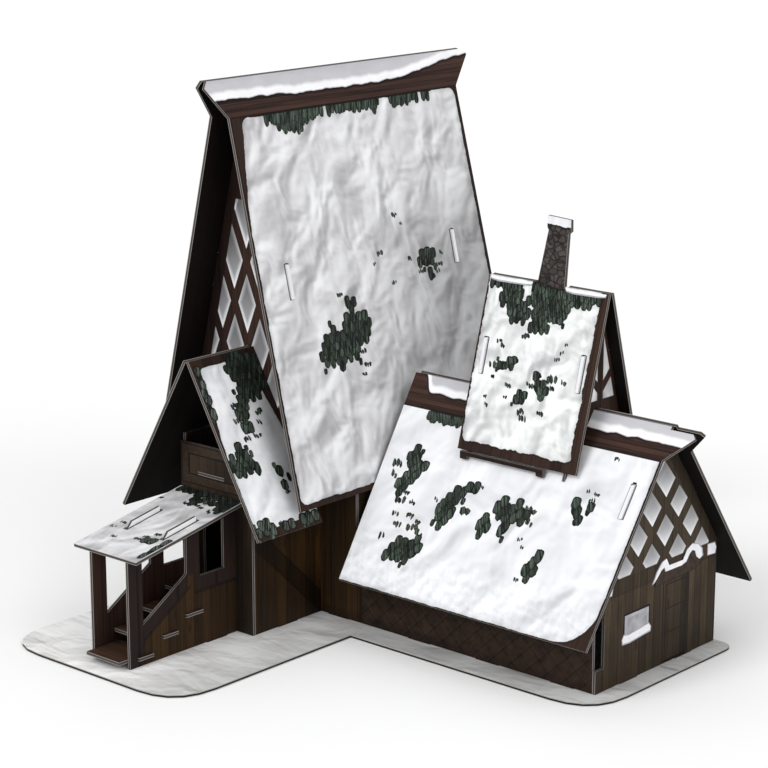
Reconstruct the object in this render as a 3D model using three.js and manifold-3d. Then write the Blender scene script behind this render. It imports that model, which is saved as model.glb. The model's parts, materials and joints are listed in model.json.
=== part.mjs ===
// Snow-covered card lodge for tabletop games, in millimetres, +Z up.
// Every piece is a flat punched card. Tabs on one card pass through slots in the next one.
// X runs to the right along the wing, Y runs to the back along the hall, and the origin is on
// the underside of the base card.
import * as THREE from 'three';
import { mergeVertices } from 'three/addons/utils/BufferGeometryUtils.js';
import Module from 'manifold-3d';

// --- card stock -----------------------------------------------------------------------------
const CARD = 2;               // thickness of a wall or roof card
const BASE_CARD = 1.5;        // thickness of the base card
const GAP = 0.3;              // play between two cards that touch
const FLOOR = BASE_CARD + GAP; // lower edge of the walls
const TAB_PROUD = 1.2;        // how far a tab's end stands out of its slot
const FOOT_TAB = 16;          // length of a tab that plugs into the base
const CURVE_STEPS = 5;        // straight steps in a rounded corner
const PUNCH_MARGIN = 1;       // how far a hole's cutter reaches past both faces

// --- base -----------------------------------------------------------------------------------
const BASE_HALF_WIDTH = 157;
const BASE_FRONT = -143;      // front edge of the lobe that carries the porch
const BASE_WING_FRONT = -5;   // front edge beside the wing
const BASE_WING_REAR = 127;
const BASE_HALL_REAR = 143;
const BASE_LOBE_RIGHT = -16;
const BASE_ROUND = 30;        // large corner radius
const BASE_SMALL_ROUND = 8;

// --- hall -----------------------------------------------------------------------------------
const HALL_X = -84;           // middle of the hall, the tower and the porch
const HALL_HALF_WIDTH = 56;
const HALL_FRONT = 13;        // front face of the long front wall
const HALL_REAR = 131;        // rear face of the rear gable
const HALL_WALL_TOP = 83.7;
const LOFT_TOP = 86;          // upper face of the loft floor
const GABLE_FRONT = -14;      // front face of the jettied upper gable
const GABLE_TOP = 302;
const HALL_ROOF = {
  topZ: 316.5, topOffset: 2.76, eaveZ: 80.15, eaveOffset: 59.48,
  front: -36, rearAtTop: 157.2, rearAtEave: 163,
  boardZ: 295.5, flare: 14.6, tipZ: 312.8, tipCut: 2.5,
};
const HALL_SLOT_LOW = 194;    // heights of the roof slots on the hall
const HALL_SLOT_HIGH = 213;
const LOFT_PLUG = { offset: 38, half: 7 }; // the two plugs of the upper gable
// Middles of the tabs that plug into the base.
const FRONT_WALL_TABS = [-125, -42, 20, 70, 122];
const REAR_GABLE_TABS = [HALL_X - 30, HALL_X + 30];
const HALL_SIDE_TABS = [45, 99];

// --- entrance tower -------------------------------------------------------------------------
const TOWER_HALF_WIDTH = 28.3;
const TOWER_FRONT = -44;
const TOWER_FRONT_TOP = 107.2;
const TOWER_SIDE_TOP = 111.5;
const TOWER_FLOOR_TOP = 91.3;
const TOWER_FLOOR_TAB = 10.5; // half length of the floor tab in the front wall
const TOWER_FLOOR_TAB_X = -87.8;
const DOORWAY = { half: 11, high: 74 };
const TOWER_ROOF = { topZ: 162.5, topOffset: 2.05, eaveZ: 68.9, eaveOffset: 55.6, front: -65.5, rear: -14.4 };
const TOWER_SIDE_TABS = [-15];

// --- porch and stair ------------------------------------------------------------------------
const PORCH_HALF_WIDTH = 15.6;
const PORCH_FRONT = -126.7;
const PORCH_ROOF_PLAY = 0.8;  // room between the tower wall and the porch roof's sloping rear edge
const PORCH_ROOF = {
  front: -127, rear: TOWER_FRONT - PORCH_ROOF_PLAY, left: -112.1, right: -61.6,
  zAtFront: 65.3, slope: 0.185,
};
const PORCH_TAB = { front: -99, rear: -75, rise: 2.8, slant: 3 }; // the front end slants back
const PORCH_SLOT_PLAY = 0.9;  // play at both ends of a porch roof slot
const PORCH_FOOT_TABS = [-60];
const STAIR_OPENING = [[-116.5, 25], [-83, 45.8], [-82.5, 67], [-116.5, 61.5]];
const PORCH_WINDOW = [[-73, 42.4], [-53.8, 42.4], [-53.8, 72], [-73, 68.6]];
const TREADS = [
  { top: 7.2, front: -133, rear: -108, tabFront: -121, tabRear: -110 },
  { top: 15.2, front: -112, rear: -89.5, tabFront: -102.3, tabRear: -91 },
  { top: 22.8, front: -92, rear: -69, tabFront: -84.5, tabRear: -71.7 },
  { top: 30.5, front: -73, rear: TOWER_FRONT - GAP },
];
const LANDING_TAB = 8;        // half length of the landing's tab in the tower wall

// --- wing -----------------------------------------------------------------------------------
const WING_Y = 69;            // middle of the wing
const WING_RIGHT = 144.4;      // outer face of the wing gable
const WING_REAR = 125;        // rear face of the wing's back wall
const WING_WALL_TOP = 60;
const WING_GABLE_TOP = 136;
const WING_ROOF = {
  topZ: 141, topOffset: 2.8, eaveZ: 34.9, eaveOffset: 78.7,
  leftAtEave: -20.8, leftAtTop: -28.6, right: 154.2, boardZ: 125,
  flare: 14.4, tipZ: 137.5, tipCut: 2, stepZ: 139.4, stepX: 152, // the ridge steps down at its right end
};
const WING_SLOT_LOW = 95.5;
const WING_SLOT_HIGH = 111.3;
const CORNER_NOTCH = { depth: 7.5, low: 14.5, high: 45.5, round: 4 };
const WING_GABLE_TABS = [43, 95];
const WING_BACK_TABS = [10, 110];

// --- dormer and chimney ---------------------------------------------------------------------
const DORMER = { left: 25.2, right: 108.2, topZ: 206.8, topOffset: 2.3, eaveZ: 110.7, eaveOffset: 29.2 };
const DORMER_GABLES = [31.5, 99.5]; // middles of the two gable cards
const DORMER_GABLE_TOP = 200;
const DORMER_SLOT_LOW = 153.4;
const DORMER_SLOT_HIGH = 172.6;
const SADDLE_PLAY = 0.55;     // play between the dormer's gables and the wing roof
const SILL = {
  offset: 29.5, left: 28, right: 87, top: 110, low: 107.8,
  feet: [30.5, 84.5], footWidth: 5, footDrop: 2.1,
};
// The chimney leans: its neck, and the cap on it, sit to the right of its foot.
const CHIMNEY = {
  x: 67.4, twist: -0.2, notchHalf: 11.4, notchDepth: 6, tongueHalf: 3, tongueDeep: 9,
  footHalf: 11.1, footHigh: 3, neckLeft: -2.2, neckRight: 14, neckTop: 236.5,
  capLeft: -3.3, capRight: 16.1, capLow: 238, top: 244.5,
};

// --- finishes -------------------------------------------------------------------------------
const SNOW = { color: 0xdfe0e2, roughness: 0.75, metalness: 0 };
const PLANKS = { color: 0x4a2f20, roughness: 0.7, metalness: 0 };
const LATTICE = { color: 0x6b5648, roughness: 0.7, metalness: 0 };
const STONE = { color: 0x77706a, roughness: 0.8, metalness: 0 };
const BOARD = { color: 0x35241b, roughness: 0.75, metalness: 0 };
const GROUND = { color: 0xd2d3d4, roughness: 0.75, metalness: 0 };

// Directions in which a card can face. u runs along the card, v up it, and u x v points out.
const FRONTWARD = { u: [1, 0, 0], v: [0, 0, 1] };
const REARWARD = { u: [-1, 0, 0], v: [0, 0, 1], mirror: true };
const RIGHTWARD = { u: [0, 1, 0], v: [0, 0, 1] };
const LEFTWARD = { u: [0, -1, 0], v: [0, 0, 1], mirror: true };
const UPWARD = { u: [1, 0, 0], v: [0, 1, 0] };

const wasm = await Module();
wasm.setup();

const lodge = new THREE.Group();
const baseSlots = [];

/** Adds an outline to a path, rounding each corner that has a radius as its third number. */
function traceOutline(path, corners) {
  const points = corners.map(([x, y]) => new THREE.Vector2(x, y));
  const radii = corners.map((corner) => corner[2] ?? 0);
  corners.forEach((corner, i) => {
    const here = points[i];
    const before = points[(i + corners.length - 1) % corners.length];
    const after = points[(i + 1) % corners.length];
    const toBefore = before.clone().sub(here).setLength(radii[i]).add(here);
    const toAfter = after.clone().sub(here).setLength(radii[i]).add(here);
    const start = radii[i] ? toBefore : here;
    if (i === 0) {
      path.moveTo(start.x, start.y);
    } else {
      path.lineTo(start.x, start.y);
    }
    if (radii[i]) {
      path.quadraticCurveTo(here.x, here.y, toAfter.x, toAfter.y);
    }
  });
  path.closePath();
}

/** A straight slab below z = 0 with the given outline. */
function makeSlab(corners, thickness) {
  const shape = new THREE.Shape();
  traceOutline(shape, corners);
  const geometry = new THREE.ExtrudeGeometry(shape, {
    depth: thickness, bevelEnabled: false, curveSegments: CURVE_STEPS,
  });
  return geometry.translate(0, 0, -thickness);
}

function toSolid(geometry) {
  geometry.deleteAttribute('normal');
  geometry.deleteAttribute('uv');
  const welded = mergeVertices(geometry);
  return new wasm.Manifold(new wasm.Mesh({
    numProp: 3,
    vertProperties: new Float32Array(welded.attributes.position.array),
    triVerts: new Uint32Array(welded.index.array),
  }));
}

function toGeometry(solid) {
  const { vertProperties, triVerts } = solid.getMesh();
  const welded = new THREE.BufferGeometry();
  welded.setAttribute('position', new THREE.BufferAttribute(vertProperties, 3));
  welded.setIndex(new THREE.BufferAttribute(triVerts, 1));
  const flat = welded.toNonIndexed();
  flat.computeVertexNormals();
  return flat;
}

/** Cuts straight holes through a slab. */
function punch(slab, holes, thickness) {
  const blank = toSolid(slab);
  const punched = holes.reduce((solid, hole) => {
    const cutter = makeSlab(hole, thickness + 2 * PUNCH_MARGIN).translate(0, 0, PUNCH_MARGIN);
    return solid.subtract(toSolid(cutter));
  }, blank);
  return toGeometry(punched);
}

/** A flat card: its outline and holes lie on the outer face, and its body is behind that face. */
function addCard(name, finish, facing, origin, outline, holes = [], thickness = CARD) {
  const flip = ([x, y, radius]) => [facing.mirror ? -x : x, y, radius];
  const slab = makeSlab(outline.map(flip), thickness);
  const geometry = holes.length ? punch(slab, holes.map((hole) => hole.map(flip)), thickness) : slab;
  const u = new THREE.Vector3(...facing.u);
  const v = new THREE.Vector3(...facing.v).normalize();
  const outward = new THREE.Vector3().crossVectors(u, v);
  const placement = new THREE.Matrix4().makeBasis(u, v, outward).setPosition(...origin);
  const mesh = new THREE.Mesh(geometry, new THREE.MeshStandardMaterial(finish));
  mesh.name = name;
  mesh.applyMatrix4(placement);
  lodge.add(mesh);
}

const rectangle = (left, low, right, high) => [[left, low], [right, low], [right, high], [left, high]];

/** The lower edge of a wall, left to right, with a tab at each middle that plugs into the base. */
function footEdge(left, right, middles) {
  const tabEnd = GAP;
  const half = FOOT_TAB / 2;
  const tabs = middles.flatMap((m) => [
    [m - half, FLOOR], [m - half, tabEnd], [m + half, tabEnd], [m + half, FLOOR],
  ]);
  return [[left, FLOOR], ...tabs, [right, FLOOR]];
}

/** Records the base slots for the foot tabs of a wall that runs along X or along Y. */
function cutBaseSlots(runsAlongX, low, middles) {
  const half = FOOT_TAB / 2 + GAP;
  middles.forEach((m) => {
    const across = [low - GAP, low + CARD + GAP];
    const slot = runsAlongX
      ? rectangle(m - half, across[0], m + half, across[1])
      : rectangle(across[0], m - half, across[1], m + half);
    baseSlots.push(slot);
  });
}

/** A pitched roof: horizontal offset of the outer face from the ridge line at a height. */
class Pitch {
  constructor({ topZ, topOffset, eaveZ, eaveOffset }) {
    this.topZ = topZ;
    this.topOffset = topOffset;
    this.eaveZ = eaveZ;
    this.eaveOffset = eaveOffset;
    this.lean = (eaveOffset - topOffset) / (topZ - eaveZ);
    this.cos = 1 / Math.hypot(1, this.lean);
  }

  outer(z) {
    return this.topOffset + (this.topZ - z) * this.lean;
  }

  /** Offset at which a card under the roof stops, just short of the inner face. */
  under(z) {
    return this.outer(z) - CARD / this.cos - GAP;
  }

  heightOuter(offset) {
    return this.topZ - (offset - this.topOffset) / this.lean;
  }

  heightUnder(offset) {
    return this.heightOuter(offset + CARD / this.cos + GAP);
  }

  /** Distance up the slope from the eave to a height. */
  up(z) {
    return (z - this.eaveZ) / this.cos;
  }
}

/** The frame of one roof panel. side is +1 for the right or front panel and -1 for the other. */
function panelFacing(pitch, ridge, side) {
  if (ridge === 'Y') {
    return { u: [0, side, 0], v: [-side * pitch.lean, 0, 1], mirror: side < 0 };
  }
  return { u: [side, 0, 0], v: [0, side * pitch.lean, 1], mirror: side < 0 };
}

/** A slot in a roof panel for a gable's level tab. The skew lets the tab through the thickness. */
function roofSlot(pitch, middle, low, high) {
  const half = CARD / 2 + GAP;
  const skew = CARD * pitch.lean;
  return rectangle(middle - half, pitch.up(low) - GAP, middle + half, pitch.up(high) + skew + GAP);
}

/** The upper side of a gable, going up: a tab that passes through its roof slot, then the slope. */
function gableTab(pitch, slotLow, slotHigh, toZ) {
  const proud = CARD / pitch.cos + GAP + TAB_PROUD;
  return [
    [pitch.under(slotLow), slotLow],
    [pitch.under(slotLow) + proud, slotLow],
    [pitch.under(slotHigh) + proud, slotHigh],
    [pitch.under(slotHigh), slotHigh],
    [pitch.under(toZ), toZ],
  ];
}

/** One whole side of a gable that fits under the roof from a height upward. */
const gableSide = (pitch, fromZ, slotLow, slotHigh, toZ) => [
  [pitch.under(fromZ), fromZ], ...gableTab(pitch, slotLow, slotHigh, toZ),
];

const shifted = (points, dx) => points.map(([x, y, radius]) => [x + dx, y, radius]);
const mirrored = (points) => points.map(([x, y, radius]) => [-x, y, radius]).reverse();

const hallPitch = new Pitch(HALL_ROOF);
const towerPitch = new Pitch(TOWER_ROOF);
const wingPitch = new Pitch(WING_ROOF);
const dormerPitch = new Pitch(DORMER);

function buildHallWalls() {
  const left = HALL_X - HALL_HALF_WIDTH;
  const right = HALL_X + HALL_HALF_WIDTH;
  const wingEnd = WING_RIGHT - CARD - GAP;

  // One long card closes the hall and the wing at the front, with a step between them.
  addCard('hall_and_wing_front_wall', PLANKS, FRONTWARD, [0, HALL_FRONT, 0], [
    ...footEdge(left, wingEnd, FRONT_WALL_TABS),
    [wingEnd, WING_WALL_TOP], [right, WING_WALL_TOP], [right, HALL_WALL_TOP], [left, HALL_WALL_TOP],
  ]);
  cutBaseSlots(true, HALL_FRONT, FRONT_WALL_TABS);

  // The rear gable is one card from the base to the ridge.
  const rise = gableSide(hallPitch, HALL_WALL_TOP, HALL_SLOT_LOW, HALL_SLOT_HIGH, GABLE_TOP);
  addCard('hall_rear_gable', PLANKS, REARWARD, [0, HALL_REAR, 0], [
    ...footEdge(left, right, REAR_GABLE_TABS),
    ...shifted(rise, HALL_X),
    ...shifted(mirrored(rise), HALL_X),
  ]);
  cutBaseSlots(true, HALL_REAR - CARD, REAR_GABLE_TABS);

  const sideFront = HALL_FRONT + CARD + GAP;
  const sideRear = HALL_REAR - CARD - GAP;
  const side = [
    ...footEdge(sideFront, sideRear, HALL_SIDE_TABS), [sideRear, HALL_WALL_TOP], [sideFront, HALL_WALL_TOP],
  ];
  addCard('hall_left_wall', PLANKS, LEFTWARD, [left, 0, 0], side);
  addCard('hall_right_wall', PLANKS, RIGHTWARD, [right, 0, 0], side);
  cutBaseSlots(false, left, HALL_SIDE_TABS);
  cutBaseSlots(false, right - CARD, HALL_SIDE_TABS);
}

function buildHallLoft() {
  // The loft floor lies on the walls and carries the upper gable, whose plugs sit in its notches.
  const half = hallPitch.under(LOFT_TOP);
  const rear = HALL_REAR - CARD - GAP;
  const plugs = [HALL_X - LOFT_PLUG.offset, HALL_X + LOFT_PLUG.offset];
  const notchHalf = LOFT_PLUG.half + GAP;
  const notchRear = GABLE_FRONT + CARD + GAP;
  const frontEdge = plugs.flatMap((m) => [
    [m - notchHalf, GABLE_FRONT], [m - notchHalf, notchRear],
    [m + notchHalf, notchRear], [m + notchHalf, GABLE_FRONT],
  ]);
  addCard('hall_loft_floor', BOARD, UPWARD, [0, 0, LOFT_TOP], [
    [HALL_X - half, GABLE_FRONT], ...frontEdge, [HALL_X + half, GABLE_FRONT],
    [HALL_X + half, rear], [HALL_X - half, rear],
  ]);

  const low = LOFT_TOP + GAP;
  const plugLow = LOFT_TOP - CARD + GAP;
  const rise = gableSide(hallPitch, low, HALL_SLOT_LOW, HALL_SLOT_HIGH, GABLE_TOP);
  const lowerEdge = plugs.flatMap((m) => [
    [m - LOFT_PLUG.half, low], [m - LOFT_PLUG.half, plugLow],
    [m + LOFT_PLUG.half, plugLow], [m + LOFT_PLUG.half, low],
  ]);
  addCard('hall_front_gable', LATTICE, FRONTWARD, [0, GABLE_FRONT, 0], [
    ...lowerEdge,
    ...shifted(rise, HALL_X),
    ...shifted(mirrored(rise), HALL_X),
  ]);
}

function buildHallRoof() {
  const { front, rearAtTop, rearAtEave, boardZ, flare, tipZ, tipCut, topZ, eaveZ, eaveOffset } = HALL_ROOF;
  const up = (z) => hallPitch.up(z);
  const outline = [
    [front, 0], [rearAtEave, 0], [rearAtTop, up(boardZ)],
    [rearAtTop + flare, up(tipZ)], [rearAtTop + flare - tipCut, up(topZ)],
    [front - flare + tipCut, up(topZ)], [front - flare, up(tipZ)], [front, up(boardZ)],
  ];
  const gableMiddles = [GABLE_FRONT + CARD / 2, HALL_REAR - CARD / 2];
  const slots = gableMiddles.map((y) => roofSlot(hallPitch, y, HALL_SLOT_LOW, HALL_SLOT_HIGH));
  const rightEave = [HALL_X + eaveOffset, 0, eaveZ];
  const leftEave = [HALL_X - eaveOffset, 0, eaveZ];
  addCard('hall_roof_right', SNOW, panelFacing(hallPitch, 'Y', 1), rightEave, outline, slots);
  addCard('hall_roof_left', SNOW, panelFacing(hallPitch, 'Y', -1), leftEave, outline, slots);
}

function buildTower() {
  const left = HALL_X - TOWER_HALF_WIDTH;
  const right = HALL_X + TOWER_HALF_WIDTH;
  const frontTabs = [HALL_X];
  const floorTab = rectangle(
    TOWER_FLOOR_TAB_X - TOWER_FLOOR_TAB - GAP, TOWER_FLOOR_TOP - CARD - GAP,
    TOWER_FLOOR_TAB_X + TOWER_FLOOR_TAB + GAP, TOWER_FLOOR_TOP + GAP);
  const landing = TREADS[3].top;
  const landingTab = rectangle(
    HALL_X - LANDING_TAB - GAP, landing - CARD - GAP, HALL_X + LANDING_TAB + GAP, landing + GAP);
  const doorway = rectangle(HALL_X - DOORWAY.half, landing, HALL_X + DOORWAY.half, DOORWAY.high);
  addCard('tower_front_wall', BOARD, FRONTWARD, [0, TOWER_FRONT, 0], [
    ...footEdge(left, right, frontTabs), [right, TOWER_FRONT_TOP], [left, TOWER_FRONT_TOP],
  ], [floorTab, landingTab, doorway]);
  cutBaseSlots(true, TOWER_FRONT, frontTabs);

  // Each side wall is tall in front of the upper gable and low under the loft floor behind it.
  const sideFront = TOWER_FRONT + CARD + GAP;
  const sideRear = HALL_FRONT - GAP;
  const step = GABLE_FRONT - GAP;
  const side = [
    ...footEdge(sideFront, sideRear, TOWER_SIDE_TABS),
    [sideRear, HALL_WALL_TOP], [step, HALL_WALL_TOP], [step, TOWER_SIDE_TOP], [sideFront, TOWER_SIDE_TOP],
  ];
  addCard('tower_left_wall', PLANKS, LEFTWARD, [left, 0, 0], side);
  addCard('tower_right_wall', PLANKS, RIGHTWARD, [right, 0, 0], side);
  cutBaseSlots(false, left, TOWER_SIDE_TABS);
  cutBaseSlots(false, right - CARD, TOWER_SIDE_TABS);

  const floorLeft = left + CARD + GAP;
  const floorRight = right - CARD - GAP;
  const tabLeft = TOWER_FLOOR_TAB_X - TOWER_FLOOR_TAB;
  const tabRight = TOWER_FLOOR_TAB_X + TOWER_FLOOR_TAB;
  addCard('tower_floor', BOARD, UPWARD, [0, 0, TOWER_FLOOR_TOP], [
    [floorLeft, sideFront], [tabLeft, sideFront], [tabLeft, TOWER_FRONT],
    [tabRight, TOWER_FRONT], [tabRight, sideFront], [floorRight, sideFront],
    [floorRight, step], [floorLeft, step],
  ]);

  const { front, rear, topZ, eaveZ, eaveOffset } = TOWER_ROOF;
  const panel = rectangle(front, 0, rear, towerPitch.up(topZ));
  const rightEave = [HALL_X + eaveOffset, 0, eaveZ];
  const leftEave = [HALL_X - eaveOffset, 0, eaveZ];
  addCard('tower_roof_right', SNOW, panelFacing(towerPitch, 'Y', 1), rightEave, panel);
  addCard('tower_roof_left', SNOW, panelFacing(towerPitch, 'Y', -1), leftEave, panel);
}

/** Height of the porch roof's upper face at a place along Y. */
const porchRoofZ = (y) => PORCH_ROOF.zAtFront + PORCH_ROOF.slope * (y - PORCH_ROOF.front);

function buildPorchWalls() {
  const rear = TOWER_FRONT - GAP;
  const tilt = Math.hypot(1, PORCH_ROOF.slope);
  const under = (y) => porchRoofZ(y) - CARD * tilt - GAP;
  const overTab = (y) => porchRoofZ(y) + PORCH_TAB.rise;
  const slantTop = PORCH_TAB.front + PORCH_TAB.slant;
  const outline = [
    ...footEdge(PORCH_FRONT, rear, PORCH_FOOT_TABS),
    [rear, under(rear)],
    [PORCH_TAB.rear, under(PORCH_TAB.rear)], [PORCH_TAB.rear, overTab(PORCH_TAB.rear)],
    [slantTop, overTab(slantTop)], [PORCH_TAB.front, porchRoofZ(PORCH_TAB.front)],
    [PORCH_TAB.front, under(PORCH_TAB.front)],
    [PORCH_FRONT, under(PORCH_FRONT)],
  ];
  const treadSlots = TREADS.slice(0, 3).map((tread) => rectangle(
    tread.tabFront - GAP, tread.top - CARD - GAP, tread.tabRear + GAP, tread.top + GAP));
  const holes = [STAIR_OPENING, PORCH_WINDOW, ...treadSlots];
  const left = HALL_X - PORCH_HALF_WIDTH;
  const right = HALL_X + PORCH_HALF_WIDTH;
  addCard('porch_left_wall', PLANKS, LEFTWARD, [left, 0, 0], outline, holes);
  addCard('porch_right_wall', PLANKS, RIGHTWARD, [right, 0, 0], outline, holes);
  cutBaseSlots(false, left, PORCH_FOOT_TABS);
  cutBaseSlots(false, right - CARD, PORCH_FOOT_TABS);
}

function buildPorchRoof() {
  const tilt = Math.hypot(1, PORCH_ROOF.slope);
  const along = (y) => (y - PORCH_ROOF.front) * tilt;
  const slotFront = along(PORCH_TAB.front) - PORCH_SLOT_PLAY;
  const slotRear = along(PORCH_TAB.rear) + PORCH_SLOT_PLAY;
  const slotFor = (x) => rectangle(x - GAP, slotFront, x + CARD + GAP, slotRear);
  const slots = [slotFor(HALL_X - PORCH_HALF_WIDTH), slotFor(HALL_X + PORCH_HALF_WIDTH - CARD)];
  const facing = { u: [1, 0, 0], v: [0, 1, PORCH_ROOF.slope] };
  addCard('porch_roof', SNOW, facing, [0, PORCH_ROOF.front, PORCH_ROOF.zAtFront],
    rectangle(PORCH_ROOF.left, 0, PORCH_ROOF.right, along(PORCH_ROOF.rear)), slots);
}

function buildStair() {
  const inner = PORCH_HALF_WIDTH - CARD - GAP;
  const tabEnd = PORCH_HALF_WIDTH + TAB_PROUD;
  TREADS.forEach((tread, i) => {
    const landingSide = [
      [inner, tread.rear], [LANDING_TAB, tread.rear], [LANDING_TAB, TOWER_FRONT + CARD + TAB_PROUD],
    ];
    const treadSide = [
      [inner, tread.tabFront], [tabEnd, tread.tabFront],
      [tabEnd, tread.tabRear], [inner, tread.tabRear], [inner, tread.rear],
    ];
    const half = [[inner, tread.front], ...(tread.tabFront === undefined ? landingSide : treadSide)];
    addCard(`stair_tread_${i + 1}`, PLANKS, UPWARD, [HALL_X, 0, tread.top], [...half, ...mirrored(half)]);
  });
}

function buildWingWalls() {
  const shoulder = (y) => wingPitch.heightUnder(Math.abs(y - WING_Y));
  const { depth, low, high, round } = CORNER_NOTCH;
  const rise = gableTab(wingPitch, WING_SLOT_LOW, WING_SLOT_HIGH, WING_GABLE_TOP);
  addCard('wing_gable', PLANKS, RIGHTWARD, [WING_RIGHT, 0, 0], [
    ...footEdge(HALL_FRONT, WING_REAR, WING_GABLE_TABS),
    [WING_REAR, shoulder(WING_REAR)],
    ...shifted(rise, WING_Y),
    ...shifted(mirrored(rise), WING_Y),
    [HALL_FRONT, shoulder(HALL_FRONT)],
    [HALL_FRONT, high], [HALL_FRONT + depth, high, round], [HALL_FRONT + depth, low], [HALL_FRONT, low],
  ]);
  cutBaseSlots(false, WING_RIGHT - CARD, WING_GABLE_TABS);

  const left = HALL_X + HALL_HALF_WIDTH + GAP;
  const right = WING_RIGHT - CARD - GAP;
  addCard('wing_back_wall', PLANKS, REARWARD, [0, WING_REAR, 0], [
    ...footEdge(left, right, WING_BACK_TABS), [right, WING_WALL_TOP], [left, WING_WALL_TOP],
  ]);
  cutBaseSlots(true, WING_REAR - CARD, WING_BACK_TABS);
}

function buildWingRoof() {
  const { leftAtEave, leftAtTop, right, boardZ, flare, tipZ, tipCut, stepZ, stepX } = WING_ROOF;
  const { topZ, eaveZ, eaveOffset } = WING_ROOF;
  const up = (z) => wingPitch.up(z);
  const outline = [
    [leftAtEave, 0], [right, 0], [right, up(boardZ)],
    [right + flare, up(tipZ)], [right + flare - tipCut, up(stepZ)],
    [stepX, up(stepZ)], [stepX, up(topZ)], [leftAtTop, up(topZ)],
  ];
  const slots = [roofSlot(wingPitch, WING_RIGHT - CARD / 2, WING_SLOT_LOW, WING_SLOT_HIGH)];
  const frontEave = [0, WING_Y - eaveOffset, eaveZ];
  const rearEave = [0, WING_Y + eaveOffset, eaveZ];
  addCard('wing_roof_front', SNOW, panelFacing(wingPitch, 'X', 1), frontEave, outline, slots);
  addCard('wing_roof_back', SNOW, panelFacing(wingPitch, 'X', -1), rearEave, outline, slots);
}

function buildDormer() {
  const { left, right, topZ, eaveZ, eaveOffset } = DORMER;
  const up = (z) => dormerPitch.up(z);
  const { x: chimneyX, notchHalf, notchDepth } = CHIMNEY;
  const outline = [
    [left, 0], [right, 0], [right, up(topZ)],
    [chimneyX + notchHalf, up(topZ)], [chimneyX + notchHalf, up(topZ) - notchDepth],
    [chimneyX - notchHalf, up(topZ) - notchDepth], [chimneyX - notchHalf, up(topZ)],
    [left, up(topZ)],
  ];
  const slots = DORMER_GABLES.map((x) => roofSlot(dormerPitch, x, DORMER_SLOT_LOW, DORMER_SLOT_HIGH));
  const frontEave = [0, WING_Y - eaveOffset, eaveZ];
  const rearEave = [0, WING_Y + eaveOffset, eaveZ];
  addCard('dormer_roof_front', SNOW, panelFacing(dormerPitch, 'X', 1), frontEave, outline, slots);
  addCard('dormer_roof_back', SNOW, panelFacing(dormerPitch, 'X', -1), rearEave, outline, slots);

  // Each gable straddles the wing's ridge with an inverted V in its lower edge.
  const saddle = (offset) => wingPitch.heightOuter(offset) + SADDLE_PLAY;
  const lowOffset = dormerPitch.under(saddle(eaveOffset));
  const ridgeHalf = WING_ROOF.topOffset + GAP;
  const half = [
    [ridgeHalf, WING_ROOF.topZ + SADDLE_PLAY], [lowOffset, saddle(lowOffset)],
    ...gableTab(dormerPitch, DORMER_SLOT_LOW, DORMER_SLOT_HIGH, DORMER_GABLE_TOP),
  ];
  DORMER_GABLES.forEach((x, i) => {
    const name = i ? 'dormer_gable_right' : 'dormer_gable_left';
    const facing = i ? RIGHTWARD : LEFTWARD;
    const face = i ? x + CARD / 2 : x - CARD / 2;
    addCard(name, LATTICE, facing, [face, 0, 0], shifted([...half, ...mirrored(half)], WING_Y));
  });

  // A low sill closes the gap under each eave and stands on the wing roof on two small feet.
  const footed = SILL.feet.flatMap((x) => [
    [x - SILL.footWidth / 2, SILL.low], [x - SILL.footWidth / 2, SILL.low - SILL.footDrop],
    [x + SILL.footWidth / 2, SILL.low - SILL.footDrop], [x + SILL.footWidth / 2, SILL.low],
  ]);
  const sill = [...footed.slice(1, -1), [SILL.right, SILL.top], [SILL.left, SILL.top]];
  addCard('dormer_sill_front', BOARD, FRONTWARD, [0, WING_Y - SILL.offset - CARD / 2, 0], sill);
  addCard('dormer_sill_back', BOARD, REARWARD, [0, WING_Y + SILL.offset + CARD / 2, 0], sill);
}

function buildChimney() {
  const { footHalf, footHigh, neckLeft, neckRight, neckTop, tongueHalf } = CHIMNEY;
  const { capLeft, capRight, capLow, top } = CHIMNEY;
  const bottom = DORMER.topZ - CHIMNEY.notchDepth + 2 * GAP;
  const tongueLow = bottom - CHIMNEY.tongueDeep;
  const outline = [
    [-tongueHalf, tongueLow], [tongueHalf, tongueLow], [tongueHalf, bottom],
    [footHalf, bottom], [neckRight, neckTop], [capRight, capLow], [capRight, top],
    [capLeft, top], [capLeft, capLow], [neckLeft, neckTop],
    [-footHalf, bottom + footHigh], [-footHalf, bottom], [-tongueHalf, bottom],
  ];
  const across = Math.cos(CHIMNEY.twist);
  const inward = Math.sin(CHIMNEY.twist);
  const halfCard = CARD / 2;
  const origin = [CHIMNEY.x + halfCard * inward, WING_Y - halfCard * across, 0];
  addCard('chimney', STONE, { u: [across, inward, 0], v: [0, 0, 1] }, origin, outline);
}

function buildBase() {
  const left = -BASE_HALF_WIDTH;
  const right = BASE_HALF_WIDTH;
  addCard('base_plate', GROUND, UPWARD, [0, 0, BASE_CARD], [
    [left, BASE_FRONT, BASE_ROUND], [BASE_LOBE_RIGHT, BASE_FRONT, BASE_ROUND],
    [BASE_LOBE_RIGHT, BASE_WING_FRONT],
    [right, BASE_WING_FRONT, BASE_ROUND], [right, BASE_WING_REAR, BASE_SMALL_ROUND],
    [BASE_LOBE_RIGHT, BASE_WING_REAR], [BASE_LOBE_RIGHT, BASE_HALL_REAR, BASE_SMALL_ROUND],
    [left, BASE_HALL_REAR, BASE_ROUND],
  ], baseSlots, BASE_CARD);
}

buildHallWalls();
buildHallLoft();
buildHallRoof();
buildTower();
buildPorchWalls();
buildPorchRoof();
buildStair();
buildWingWalls();
buildWingRoof();
buildDormer();
buildChimney();
buildBase();

export default lodge;
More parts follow.
